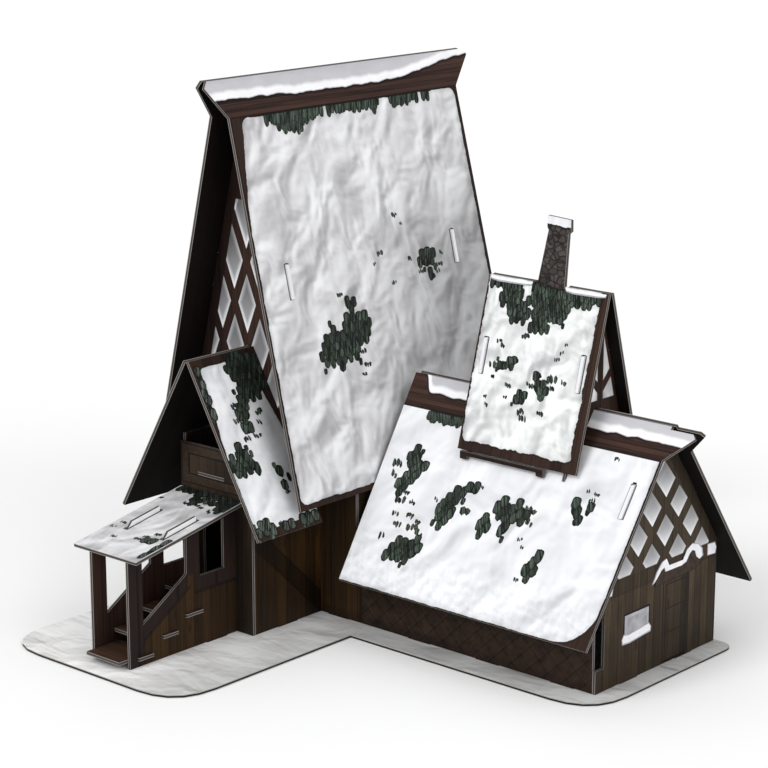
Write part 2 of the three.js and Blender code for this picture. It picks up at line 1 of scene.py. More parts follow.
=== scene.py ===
"""Looks of the snow-covered card lodge: printed card, drawn with procedural inks.

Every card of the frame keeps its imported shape. Its print is a node material in the card's own
millimetre coordinates. Shingles, the window, the door's lines and heaps of snow are thin layers
of ink on top.
"""

import json
import math
import random

import bmesh
import bpy
import numpy as np
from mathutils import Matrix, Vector

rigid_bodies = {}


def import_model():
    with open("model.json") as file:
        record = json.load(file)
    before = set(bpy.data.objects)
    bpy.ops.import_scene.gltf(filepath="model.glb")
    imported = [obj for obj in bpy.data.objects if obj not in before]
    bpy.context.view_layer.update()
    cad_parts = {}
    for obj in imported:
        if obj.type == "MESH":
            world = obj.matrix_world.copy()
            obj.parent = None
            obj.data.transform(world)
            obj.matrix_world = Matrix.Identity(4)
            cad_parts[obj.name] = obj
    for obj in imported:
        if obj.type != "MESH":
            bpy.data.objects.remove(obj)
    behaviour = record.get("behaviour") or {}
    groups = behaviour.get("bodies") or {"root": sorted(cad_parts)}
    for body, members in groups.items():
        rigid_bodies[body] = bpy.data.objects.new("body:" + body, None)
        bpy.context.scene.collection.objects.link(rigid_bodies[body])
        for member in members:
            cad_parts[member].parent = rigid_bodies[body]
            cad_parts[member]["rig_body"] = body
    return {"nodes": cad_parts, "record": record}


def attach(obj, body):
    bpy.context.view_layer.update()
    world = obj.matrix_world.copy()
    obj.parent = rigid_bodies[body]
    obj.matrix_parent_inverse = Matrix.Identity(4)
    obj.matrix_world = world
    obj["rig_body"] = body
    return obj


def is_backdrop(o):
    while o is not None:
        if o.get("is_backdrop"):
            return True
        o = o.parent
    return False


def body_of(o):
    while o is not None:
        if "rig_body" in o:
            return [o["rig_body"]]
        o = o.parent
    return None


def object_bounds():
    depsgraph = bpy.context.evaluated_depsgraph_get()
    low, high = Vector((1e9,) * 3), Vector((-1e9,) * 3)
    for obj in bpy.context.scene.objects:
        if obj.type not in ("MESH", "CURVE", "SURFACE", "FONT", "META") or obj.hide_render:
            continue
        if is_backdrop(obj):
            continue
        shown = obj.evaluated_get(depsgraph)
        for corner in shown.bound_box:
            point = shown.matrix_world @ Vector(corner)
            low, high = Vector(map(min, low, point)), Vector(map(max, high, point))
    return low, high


MM = 0.001
CARD = 2           # card thickness, mm
BASE_CARD = 1.5    # thickness of the base card, mm
INK_LIFT = 0.06    # how far the first layer of drawn ink stands off its card, mm
INK_STEP = 0.022   # height of each further layer of ink, mm
INK_MARGIN = 0.5   # how far drawn ink stays from a card's edge, mm
SLOT_LINE = 1.95   # from a roof slot's middle to the outside of the painted shade round it, mm
SLOT_SHADE = 0.88   # share of the light that this painted shade round the slot takes away
PRINT_FULL = 0.04  # the depth in mm to which a face's print is full
PRINT_NONE = 0.12  # the depth in mm at which the cut edge has taken over
PAPER_FULL = 0.26  # the depth in mm to which the cut edge is paper
PAPER_NONE = 0.42  # the depth in mm at which the core has taken over

# Heights and places on the cards that the print follows, mm, in the row frame.
HALL_X = -84
HALL_TOP = 316.5
HALL_BOARD = 295
WING_Y = 69
WING_TOP = 141
WING_BOARD = 124
DORMER_TOP = 206.8
TOWER_TOP = 107.2
HEADER_HALF = 27.6    # half the width of the frame printed on the tower's header
HEADER_LOW = 83

# Each roof's middle, offset at the ridge, ridge height and lean, in mm.
HALL_SLOPE = (HALL_X, 2.76, HALL_TOP, 0.24)
WING_SLOPE = (WING_Y, 2.8, WING_TOP, 0.7153)
DORMER_SLOPE = (WING_Y, 2.3, DORMER_TOP, 0.28)

CAMERA_PLACE = (0.8548, -0.9560, 0.4784)
CAMERA_AZIMUTH = 41.63
CAMERA_ELEVATION = 14.31
CAMERA_LENS = 112.03
CAMERA_SENSOR = 36
FLOOR_REACH = 20
FLOOR_HEIGHT = -0.0004
WORLD_LIGHT = 0.68

# Colours as a display shows them, with channels of 0 to 255. Timber has a dark and a light
# tone, and snow has four, from its shadows to its lights.
GREY_SNOW = ((146, 145, 148), (190, 189, 191), (214, 214, 216), (238, 239, 240))
SOFT_SNOW = ((170, 172, 173), (206, 208, 208), (228, 230, 230), (246, 247, 247))
WHITE_SNOW = ((182, 184, 188), (214, 215, 218), (229, 230, 233), (245, 245, 247))
SNOW_PLACES = (0.04, 0.37, 0.62, 0.93)
SNOW_TURN = (0.91, 0.41)     # the turn of the snow's billows from the card's edges: cosine, sine
SNOW_BRIGHT = (246, 246, 248)
TAB_WHITE = (226, 226, 229)
PAPER = (158, 155, 152)
CORE = (70, 64, 60)
BARK = (26, 16, 12), (56, 38, 30)
RIDGE = (20, 12, 10), (74, 51, 43)
OAK = (20, 13, 5), (66, 45, 22)
GREY_OAK = (34, 28, 22), (80, 66, 49)
PORCH = (22, 13, 10), (66, 46, 38)
POST = (17, 11, 10), (43, 30, 28)
TREAD = (22, 13, 10), (84, 60, 44)
UNDER = (3, 2, 1), (19, 11, 8)
HEADER = (24, 18, 12), (66, 52, 40)
HALL_LATTICE = (26, 15, 12), (62, 41, 33)
WING_LATTICE = (46, 38, 29), (66, 56, 43)
PANE_STOPS = (
    (0, (104, 104, 106)), (0.35, (160, 160, 162)), (0.65, (218, 218, 221)), (0.9, (250, 250, 251)))
CAP_STOPS = (
    (0, (170, 170, 178)), (0.06, SNOW_BRIGHT), (0.26, SNOW_BRIGHT), (0.4, (196, 196, 200)),
    (1, (184, 184, 190)))

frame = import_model()
cad_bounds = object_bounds()


def linear(colour):
    """The linear colour, as shaders use it, of a display colour."""
    def channel(level):
        share = level / 255
        return share / 12.92 if share <= 0.04045 else ((share + 0.055) / 1.055) ** 2.4
    return tuple(channel(level) for level in colour) + (1,)


# --- fields: numbers that vary over a surface ---
def arithmetic(operation, swapped=False):
    """A method of Field that combines it with another field or number."""
    def combine(self, other):
        return self.ink.math(operation, *((other, self) if swapped else (self, other)))
    return combine


class Field:
    """A number or vector over the surface, held as a node socket. Arithmetic adds Math nodes."""

    __add__ = arithmetic("ADD")
    __radd__ = arithmetic("ADD", swapped=True)
    __sub__ = arithmetic("SUBTRACT")
    __rsub__ = arithmetic("SUBTRACT", swapped=True)
    __mul__ = arithmetic("MULTIPLY")
    __truediv__ = arithmetic("DIVIDE")

    def __init__(self, ink, socket):
        self.ink = ink
        self.socket = socket

    def __abs__(self):
        return self.ink.math("ABSOLUTE", self)

    def step(self, low, high):
        """0 below low, 1 above high, smooth in between. low may be above high."""
        rising = low < high
        inputs = (
            ("Value", self), ("From Min", min(low, high)), ("From Max", max(low, high)),
            ("To Min", 0 if rising else 1), ("To Max", 1 if rising else 0))
        return self.ink.field("MapRange", inputs, interpolation_type="SMOOTHSTEP")

    def inside(self, low, high, soft=0.15):
        """1 between low and high, 0 beyond them, with soft ends."""
        return self.step(low - soft, low + soft) * self.step(high + soft, high - soft)


class Ink:
    """A node material under construction."""

    def __init__(self, name):
        self.material = bpy.data.materials.new(name)
        self.material.use_nodes = True
        self.tree = self.material.node_tree
        self.tree.nodes.clear()
        self.shader = self.node("BsdfPrincipled")
        surface = self.node("OutputMaterial").inputs["Surface"]
        self.tree.links.new(self.shader.outputs["BSDF"], surface)
        self.place = self.shade(self.field("TexCoord", output="Object"), 1 / MM)
        split = self.node("SeparateXYZ", [(0, self.place)])
        self.axes = [Field(self, axis) for axis in split.outputs]

    def node(self, kind, inputs=(), **settings):
        """A new node with its settings, and with its inputs fed from (key, value) pairs."""
        node = self.tree.nodes.new("ShaderNode" + kind)
        for name, value in settings.items():
            setattr(node, name, value)
        for key, value in inputs:
            self.feed(node.inputs[key], value)
        return node

    def feed(self, socket, value):
        """Gives a socket a field, a number, a vector or, as a tuple, a display colour."""
        if isinstance(value, Field):
            self.tree.links.new(value.socket, socket)
        elif isinstance(value, tuple):
            socket.default_value = linear(value)[:len(socket.default_value)]
        else:
            socket.default_value = value

    def field(self, kind, inputs=(), output=0, **settings):
        """One output of a new node, as a field."""
        return Field(self, self.node(kind, inputs, **settings).outputs[output])

    def math(self, operation, *values):
        return self.field("Math", enumerate(values), operation=operation)

    def vector(self, x, y, z=0):
        return self.field("CombineXYZ", enumerate((x, y, z)))

    def dot(self, direction):
        """How far along a direction each place is, in mm."""
        return self.field("VectorMath", ((0, self.place), (1, direction)), "Value", operation="DOT_PRODUCT")

    def noise(self, x, y, z=0, detail=2, roughness=0.5, distortion=0):
        inputs = (
            ("Vector", self.vector(x, y, z)), ("Scale", 1), ("Detail", detail),
            ("Roughness", roughness), ("Distortion", distortion))
        return self.field("TexNoise", inputs)

    def cells(self, x, y, output="Distance", feature="F1"):
        inputs = (("Vector", self.vector(x, y)), ("Scale", 1))
        return self.field("TexVoronoi", inputs, output, feature=feature)

    def speckle(self, x, y):
        """A random number for each pair of values."""
        return self.field("TexWhiteNoise", [("Vector", self.vector(x, y))], noise_dimensions="2D")

    def ramp(self, value, *stops):
        """A colour that changes with the value, through stops of (value, display colour)."""
        node = self.node("ValToRGB", [("Fac", value)])
        elements = node.color_ramp.elements
        while len(elements) < len(stops):
            elements.new(0.5)
        for element, (position, colour) in zip(elements, stops):
            element.position = position
            element.color = linear(colour)
        return Field(self, node.outputs["Color"])

    def mix(self, share, below, above):
        """The second colour over the first, as far as the share says."""
        return self.field("Mix", (("Factor", share), (6, below), (7, above)), 2, data_type="RGBA")

    def shade(self, colour, amount):
        """The colour times a grey amount."""
        return self.field("VectorMath", ((0, colour), ("Scale", amount)), operation="SCALE")

    def darken(self, colour, where, loss):
        """The colour with that share of its light lost where the mask is 1."""
        return self.shade(colour, 1 - where * loss)

    def finish(self, colour, roughness=0.6, relief=None):
        """The material. The relief adds the slight bump of print on card."""
        self.feed(self.shader.inputs["Base Color"], colour)
        self.feed(self.shader.inputs["Roughness"], roughness)
        self.shader.inputs["Specular IOR Level"].default_value = 0.16
        if relief is not None:
            bump = self.node("Bump", (("Strength", 0.25), ("Distance", 0.12 * MM), ("Height", relief)))
            self.tree.links.new(bump.outputs["Normal"], self.shader.inputs["Normal"])
        return self.material


# --- cards: where a card's outer face lies ---
class Card:
    """One flat card of the frame, with millimetre coordinates on its outer face.

    a runs along the card and is the row frame's X or Y. b is the row frame's Z, or Y on a card
    that lies flat. The slope is how much longer the card's face is than its height.
    """

    def __init__(self, node, outward):
        self.node = node
        self.object = frame["nodes"][node]
        mesh = self.object.data
        areas = {}
        for polygon in mesh.polygons:
            key = tuple(round(part, 2) for part in polygon.normal)
            total, _ = areas.get(key, (0, None))
            areas[key] = (total + polygon.area, polygon.normal.copy())
        facing = [pair for pair in areas.values() if pair[1].dot(Vector(outward)) > 0.2]
        self.normal = max(facing, key=lambda pair: pair[0])[1].normalized()
        points = [vertex.co / MM for vertex in mesh.vertices]
        self.offset = max(point.dot(self.normal) for point in points)
        flat = abs(self.normal.z) > 0.9
        self.a_axis = 0 if flat or abs(self.normal.y) > abs(self.normal.x) else 1
        self.b_axis = 1 if flat else 2
        straight_up = Vector((0, 1, 0)) if flat else Vector((0, 0, 1))
        up = (straight_up - self.normal * straight_up.dot(self.normal)).normalized()
        self.slope = 1 / up.dot(straight_up)
        self.reach = [
            (min(point[axis] for point in points), max(point[axis] for point in points))
            for axis in (self.a_axis, self.b_axis)]

    def point(self, a, b, lift=0):
        """The place in the row frame, in mm, of a point on the outer face."""
        third = 3 - self.a_axis - self.b_axis
        place = Vector((0, 0, 0))
        place[self.a_axis] = a
        place[self.b_axis] = b
        place[third] = (self.offset - place.dot(self.normal)) / self.normal[third]
        return place + self.normal * lift

    def fields(self, ink):
        """(a, s, depth): along the card, up its slope, and how deep below the outer face."""
        depth = self.offset - ink.dot(self.normal)
        return ink.axes[self.a_axis], ink.axes[self.b_axis] * self.slope, depth

    def body(self):
        return body_of(self.object)[0]


def add_object(name, data):
    made = bpy.data.objects.new(name, data)
    bpy.context.scene.collection.objects.link(made)
    return made


def both_sides(pattern, outward, seed=0):
    """The right and left, or the front and back, cards of a kind, each with its own seed."""
    x, y, z = outward
    names = ("right", "left") if x else ("front", "back")
    for turn, name in enumerate(names):
        way = 1 - 2 * turn
        yield Card(pattern.format(name), (x * way, y * way, z)), seed + turn


class Drawing:
    """Flat shapes of ink on a card, gathered into one mesh."""

    def __init__(self, card, name=None):
        self.card = card
        self.name = name or card.node + "_shingles"
        self.mesh = bmesh.new()
        self.materials = []

    def clip(self, place):
        return [
            min(max(value, low + INK_MARGIN), high - INK_MARGIN)
            for value, (low, high) in zip(place, self.card.reach)]

    def shape(self, outline, material, layer=0):
        """Adds a filled outline, given as (a, b) points, as a thin closed slab."""
        if material not in self.materials:
            self.materials.append(material)
        slot = self.materials.index(material)
        lift = INK_LIFT + INK_STEP * layer
        outline = [self.clip(place) for place in outline]
        upper = [self.mesh.verts.new(self.card.point(a, b, lift) * MM) for a, b in outline]
        lower = [self.mesh.verts.new(self.card.point(a, b, -INK_LIFT) * MM) for a, b in outline]
        faces = [self.mesh.faces.new(upper), self.mesh.faces.new(lower[::-1])]
        count = len(outline)
        for i in range(count):
            j = (i + 1) % count
            faces.append(self.mesh.faces.new((upper[j], upper[i], lower[i], lower[j])))
        for face in faces:
            face.material_index = slot

    def rimmed(self, outline, share, rim, fill, layer):
        """A shape in the rim's ink, with a smaller copy of it in the fill's ink on top."""
        self.shape(outline, rim, layer)
        self.shape(shrink(outline, share), fill, layer + 1)

    def box(self, left, low, right, high, material, layer):
        self.shape([(left, low), (right, low), (right, high), (left, high)], material, layer)

    def ring(self, box, width, material, layer):
        """A rectangular line or frame, drawn as four bars inside the box."""
        left, low, right, high = box
        outer = [(left, low), (right, low), (right, high), (left, high)]
        inner = [
            (left + width, low + width), (right - width, low + width),
            (right - width, high - width), (left + width, high - width)]
        for i in range(4):
            j = (i + 1) % 4
            self.shape([outer[i], outer[j], inner[j], inner[i]], material, layer)

    def finish(self):
        bmesh.ops.recalc_face_normals(self.mesh, faces=self.mesh.faces)
        bmesh.ops.triangulate(self.mesh, faces=[f for f in self.mesh.faces if len(f.verts) > 4])
        data = bpy.data.meshes.new(self.name)
        self.mesh.to_mesh(data)
        self.mesh.free()
        for material in self.materials:
            data.materials.append(material)
        drawn = add_object(self.name, data)
        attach(drawn, self.card.body())
        record_slot = next(
            part["material_slot"] for part in frame["record"]["subparts"] if part["node"] == self.card.node)


# --- inks ---
def snow(ink, a, s, seed, tones=WHITE_SNOW, size=24, fine=0.1, depth=1, crusty=None, fade=None):
    """Painted snow: soft billows with light and dark sides, over broad drifts.

    size is the billows' width in mm, fine the strength of the small lumps and depth that of
    the light and dark. crusty = (from, to) makes the lumps stronger below a height on the
    card. The last argument, a function of (a, s), is painted shade: the share of light that the
    snow loses at a place.
    """
    lumps = fine
    if crusty is not None:
        lumps = s.step(crusty[0], crusty[1]) * 0.28 + fine
    cosine, sine = SNOW_TURN
    across = a * cosine - s * sine
    along = s * cosine + a * sine

    def height(da, ds):
        coarse = ink.noise((across + da) / size, (along + ds) / (size * 1.2), seed, 2.6, 0.45, 0.6)
        small = ink.noise((across + da) / 5.2, (along + ds) / 5.2, seed + 9, 2, 0.5, 0)
        return coarse + small * lumps
    relief = (height(2, -0.7) - height(-1, 0.4)) * (3 * depth)
    drift = ink.noise(across / (size * 1.2), along / (size * 1.5), seed + 3, 2.5, 0.5, 0.5) - 0.5
    level = ink.math("TANH", (relief + drift * (0.9 * depth)) * 2) * 0.5 + 0.55
    colour = ink.ramp(level, *zip(SNOW_PLACES, tones))
    # Painted shade: the snow loses light where the last argument says.
    if fade is not None:
        colour = ink.shade(colour, 1 - fade(a, s))
    return colour


def wood(ink, along, across, plank, tones, seed, knots=True):
    """(colour, relief) of planks that run along one direction, with grain, gaps and a few knots."""
    shifted = across / plank + seed
    index = ink.math("FLOOR", shifted)
    within = ink.math("FRACT", shifted)
    tone = ink.speckle(index, seed)
    grain = ink.noise(along / 34 + tone * 31, across / 1.15, tone * 9, 5, 0.62, 0.6)
    streak = ink.noise(along / 90, across / 0.45, tone * 5, 2, 0.5, 0)
    level = grain * 0.75 + streak * 0.35 + (tone - 0.5) * 0.34 - 0.05
    colour = ink.ramp(level, *zip((0.22, 0.78), tones))
    gap = within.step(0, 0.055) * within.step(1, 0.95)
    colour = ink.shade(colour, gap * 0.72 + 0.28)
    if knots:
        ring = ink.cells(along / 27, across / 8.5).step(0.05, 0.16)
        colour = ink.shade(colour, ring * 0.5 + 0.5)
    return colour, grain * 0.5 + gap


def base_rim(ink, a, s, depth):
    """The base card's edge: a light upper layer over a dark one, which is painted shadow under the card."""
    fibre = ink.noise(a / 0.8, s / 0.8, depth * 3, 3, 0.6)
    return ink.mix(depth.step(0.5, 0.7), PAPER, ink.shade(CORE, fibre * 0.2 + 0.04))


def cut_edge(ink, a, s, depth):
    """The cut edge of the card: pale paper on both faces and grey fibre between."""
    fibre = ink.noise(a / 0.8, s / 0.8, depth * 3, 3, 0.6)
    core = ink.shade(CORE, fibre * 0.7 + 0.65)
    paper = depth.step(PAPER_NONE, PAPER_FULL) + depth.step(CARD - PAPER_NONE, CARD - PAPER_FULL)
    return ink.mix(paper, core, PAPER)


def underside(ink, a, s, seed):
    """The plain dark boards printed inside the roofs."""
    return wood(ink, s, a, 13, UNDER, seed, knots=False)[0]


def plank_back(ink, a, s, seed):
    """The planks printed inside the walls."""
    return wood(ink, s, a, 8, PORCH, seed)[0]


def card_ink(card, outer, inner=plank_back, seed=1, thickness=CARD, gloss=0.6, roof=None, rim=cut_edge):
    """A card's material: the outer print, the inner print and the cut edge, told apart by depth.

    roof = (middle, offset, top, lean) is the roof that a gable's tabs stand out of. The tabs
    are printed white, as snow is.
    """
    ink = Ink(card.node + "_print")
    a, s, depth = card.fields(ink)
    print_colour, relief = outer(ink, a, s)
    on_face = depth.step(PRINT_NONE, PRINT_FULL)
    colour = ink.mix(on_face, rim(ink, a, s, depth), print_colour)
    on_back = depth.step(thickness - PRINT_NONE, thickness - PRINT_FULL)
    colour = ink.mix(on_back, colour, inner(ink, a, s, seed))
    if roof is not None:
        middle, offset, top, lean = roof
        beyond = abs(a - middle) - (top - s) * lean - offset
        colour = ink.mix(beyond.step(-1.5, -1.2), colour, TAB_WHITE)
    fibre = ink.noise(a / 0.9, s / 0.9, seed, 3, 0.6)
    card.object.data.materials.clear()
    card.object.data.materials.append(
        ink.finish(colour, gloss + fibre * 0.2, fibre * 0.6 + relief * 0.5))


def rounded(ink, a, s, box, radius, lean=0, pinch=None):
    """Signed distance, in mm, to a box with round corners: below 0 inside.

    The right side leans by lean mm for each mm up. pinch = (from, to, left, right) moves the
    sides inward between two heights, by up to left and right.
    """
    low_a, low_s, high_a, high_s = box
    left = low_a
    right = (s - low_s) * lean + high_a
    if pinch is not None:
        share = s.step(pinch[0], pinch[1])
        left = share * pinch[2] + low_a
        right = right - share * pinch[3]
    over_a = abs(a - (right + left) * 0.5) - (right - left) * 0.5 + radius
    over_s = abs(s - (low_s + high_s) / 2) - ((high_s - low_s) / 2 - radius)
    out_a = ink.math("MAXIMUM", over_a, 0)
    out_s = ink.math("MAXIMUM", over_s, 0)
    corner = ink.math("SQRT", out_a * out_a + out_s * out_s)
    face = ink.math("MINIMUM", ink.math("MAXIMUM", over_a, over_s), 0)
    return corner + face - radius


def roof_print(card, seed, snow_box, radius, lean=0, pinch=None, board=None, cap=None, wave=2.4,
               white=None, slots=()):
    """The print of a roof: snow with a ragged edge over brown timber, and a ridge board on top.

    snow_box is (low a, low b, high a, high b). board is the height where the ridge board
    starts. cap is the height of the snow cap's lower edge along the board, as a function, and
    how much that edge waves. white holds the settings of the snow. Each of slots, (middle,
    low, high), gets a dark line round it: painted shade of the gap round the tab.
    """
    slope = card.slope
    box = (snow_box[0], snow_box[1] * slope, snow_box[2], snow_box[3] * slope)
    if pinch is not None:
        pinch = (pinch[0] * slope, pinch[1] * slope, pinch[2], pinch[3])

    def ridge_board(ink, a, s, colour):
        start = board * slope
        beam = wood(ink, a, s, 2.6, RIDGE, seed + 4, knots=False)[0]
        beam = ink.shade(beam, s.step(start, start + 1.2) * 0.6 + 0.4)
        return ink.mix(s.step(start - 0.2, start + 0.2), colour, beam)

    def snow_cap(ink, a, s, colour):
        edge, waving = cap
        wavy = (ink.noise(a / 13, 3, seed + 6, 2, 0.5) - 0.5) * waving
        above = s - edge(a) * slope - wavy
        roll = ink.ramp(above / 14, *CAP_STOPS)
        roll = ink.shade(roll, ink.noise(a / 16, s / 6, seed, 2, 0.5) * 0.24 + 0.86)
        colour = ink.darken(colour, above.inside(-1.4, 0, 0.5), 0.65)
        return ink.mix(above.step(-0.15, 0.15), colour, roll)

    def outer(ink, a, s):
        timber, grain = wood(ink, s, a, 7, BARK, seed, knots=False)
        ragged = (ink.noise(a / 9, s / 9, seed + 2, 4, 0.6) - 0.5) * (2 * wave)
        distance = rounded(ink, a, s, box, radius, lean, pinch) + ragged
        drifts = snow(ink, a, s, seed, **(white or {}))
        # A soft shadow line inside the snow's edge and a dark one outside it.
        drifts = ink.darken(drifts, distance.step(-3, 0), 0.16)
        timber = ink.shade(timber, distance.step(0, 1.6) * 0.5 + 0.5)
        colour = ink.mix(distance.step(0.22, -0.22), timber, drifts)
        if board is not None:
            colour = ridge_board(ink, a, s, colour)
        if cap is not None:
            colour = snow_cap(ink, a, s, colour)
        # Painted shade: a dark line round each slot, for the gap round the tab.
        for middle, low, high in slots:
            beside = abs(a - middle).step(SLOT_LINE + 0.15, SLOT_LINE - 0.15)
            along = s.inside((low - 0.5) * slope, (high + 0.5) * slope)
            colour = ink.darken(colour, beside * along, SLOT_SHADE)
        return colour, grain * 0.2
    return outer


def plank_print(plank, tones, seed, level=False, extra=None):
    """Plank walls. level planks run along the card, the others run up it."""
    def outer(ink, a, s):
        along, across = (a, s) if level else (s, a)
        colour, grain = wood(ink, along, across, plank, tones, seed)
        dirt = ink.noise(a / 30, s / 30, seed, 3, 0.6)
        colour = ink.shade(colour, dirt * 0.7 + 0.6)
        if extra is not None:
            colour = extra(ink, a, s, colour)
        return colour, grain
    return outer


def lattice(ink, a, s, centre, half, bar, glow, open_from):
    """1 on the crossed bars, the painted light on the panes, and how far off a pane's middle.

    half is half a pane's width and height, and bar the share of it that a bar takes. glow is
    the panes' light: at the middle, added towards the foot, and added at the rim. At the
    upper left, where across less rise is below open_from, the rising bars are left out.
    """
    across = (a - centre[0]) / (2 * half[0])
    rise = (s - centre[1]) / (2 * half[1])
    down = ink.math("FRACT", across + rise + 0.5 + 40)
    up = ink.math("FRACT", across - rise + 0.5 + 40)
    off_down = abs(down - 0.5)
    off_up = abs(up - 0.5) * (across - rise).step(open_from - 0.02, open_from + 0.02)
    far = ink.math("MAXIMUM", off_down, off_up)
    bars = far.step(0.5 - bar / 2 - 0.012, 0.5 - bar / 2 + 0.012)
    rim = far.step(0.16, 0.5 - bar / 2)
    return bars, (up - down) * glow[1] + glow[0] + rim * glow[2], far


def lattice_print(centre, half, bar, tones, seed, low, high, band, below=None, glow=(0.18, 0.4, 0.4),
                  open_from=0):
    """A lattice between two heights where band is above 0, timber around it in painted shadow of the roof,
    a print below it.
    """
    def outer(ink, a, s):
        timber, grain = wood(ink, s, a, 9, tones, seed, knots=False)
        bars, shine, far = lattice(ink, a, s, centre, half, bar, glow, open_from)
        pane = ink.ramp(shine, *PANE_STOPS)
        ridge = ink.shade(timber, far.step(0.5 - bar / 2, 0.5 - bar / 4) * 0.4 + 0.75)
        colour = ink.mix(bars, pane, ridge)
        within = s.inside(low, high, 0.3) * band(a, s).step(-0.3, 0.3)
        # Painted shadow of the roof: the timber outside the lattice is darker.
        colour = ink.mix(within, ink.shade(timber, 0.65), colour)
        if below is not None:
            colour = ink.mix(s.step(low + 0.3, low - 0.3), colour, below(ink, a, s))
        return colour, grain
    return outer


def beam_band(ink, colour, distance, half, tone, line_depth=0.5):
    """A printed beam: darker timber with a dark line at both sides of its middle line."""
    across = abs(distance)
    colour = ink.darken(colour, across.step(half + 0.3, half - 0.3), 1 - tone)
    return ink.darken(colour, across.inside(half - 0.5, half + 0.7, 0.3), line_depth)


# --- drawn ink shapes ---
def shingle_ink(name, tint):
    """Slate-green shingle: fine dark streaks down the slope."""
    ink = Ink(name)
    x, y, z = ink.axes
    streaks = ink.noise((x + y) / 1, z / 12, 2, 2, 0.6)
    blotch = ink.noise(x / 5, y / 5, z / 5, 2, 0.5)
    middle = tuple(channel * 0.62 for channel in tint)
    level = streaks * 2.3 + blotch * 0.4 - 0.86
    return ink.finish(ink.ramp(level, (0.28, (14, 19, 16)), (0.5, middle), (0.82, tint)), 0.7)


def flat_ink(name, low, high, size=5, roughness=0.6):
    """Ink of one colour with the slight mottling of print."""
    ink = Ink(name)
    x, y, z = ink.axes
    mottle = ink.noise(x / size, y / size, z / size, 4, 0.6)
    return ink.finish(ink.ramp(mottle, (0.25, low), (0.75, high)), roughness)


SHINGLE = shingle_ink("shingle_green", (82, 96, 84))
SHINGLE_PALE = shingle_ink("shingle_green_pale", (104, 114, 104))
SHINGLE_DARK = shingle_ink("shingle_green_dark", (60, 71, 61))
SHINGLE_GAP = flat_ink("shingle_gap", (12, 15, 12), (24, 28, 22))
SNOW_INK = flat_ink("snow_ink", (222, 222, 228), (248, 248, 250), 7)
SNOW_SHADE = flat_ink("snow_shade_ink", (150, 148, 156), (186, 185, 192), 4)
BEAM_INK = flat_ink("beam_ink", (34, 26, 20), (66, 52, 41), 3)
LINE_INK = flat_ink("line_ink", (14, 10, 8), (28, 20, 15), 4)
GLASS_INK = flat_ink("glass_ink", (112, 112, 116), (186, 186, 190), 12, 0.4)
FRAME_INK = flat_ink("frame_ink", (38, 30, 22), (64, 51, 39), 3)

BLOB_POINTS = 18     # corners of the dark ground under a patch of shingles
TILE_STEPS = 9       # straight pieces along a shingle's round lower end
PATCH_LAYERS = 8     # rows of a patch before its layers of ink start again
RAGGED = 0.16        # how far a patch's shingles stray over or short of its rim, as a share
FRINGE_ROWS = 9      # rows of shingles in the fringe under a ridge board, at most
FRINGE_ROW = 3.4     # height of a row of the fringe under a ridge board, mm
FRINGE_WIDTH = 3.2   # width of a shingle in that fringe, mm
# A sliver's corners, as shares of its half width, its lean and its height.
SLIVER = ((-1, 0, 0.35), (-0.3, 1, 0.6), (1, 1, 0.3), (1, 0, -0.2), (0.3, 0, -0.55), (-0.7, 0, -0.3))


def tile_outline(a, b, width, height, slope, rng, crown=0):
    """A shingle with a round, slightly ragged lower end. (a, b) is the middle of its top.

    crown is the share of its height that a round top takes up.
    """
    half = width / 2
    drop = height / slope
    top = [(half, crown), (-half, crown)]
    if crown > 0:
        top[1:1] = [(half * 0.72, crown * 0.28), (0, 0), (-half * 0.72, crown * 0.28)]
    outline = [(a + across, b - drop * down) for across, down in top]
    for i in range(TILE_STEPS + 1):
        turn = math.pi * i / TILE_STEPS
        ragged = 1 + rng.uniform(-0.07, 0.07)
        outline.append((
            a - half * math.cos(turn) * ragged,
            b - drop * (0.5 + 0.5 * math.sin(turn) ** 0.8 * ragged)))
    return outline


def shrink(outline, share):
    """The outline drawn in towards its middle."""
    middle_a = sum(a for a, _ in outline) / len(outline)
    middle_b = sum(b for _, b in outline) / len(outline)
    return [(middle_a + (a - middle_a) * share, middle_b + (b - middle_b) * share) for a, b in outline]


def patch_ground(drawing, blobs, rng):
    """Dark ink under a patch, a little smaller than each of its ellipses."""
    for ca, cb, ra, rb in blobs:
        backing = []
        for i in range(BLOB_POINTS):
            turn = 2 * math.pi * i / BLOB_POINTS
            reach = rng.uniform(0.72, 0.86)
            backing.append((ca + ra * reach * math.cos(turn), cb + rb * reach * math.sin(turn)))
        drawing.shape(backing, SHINGLE_GAP, 0)


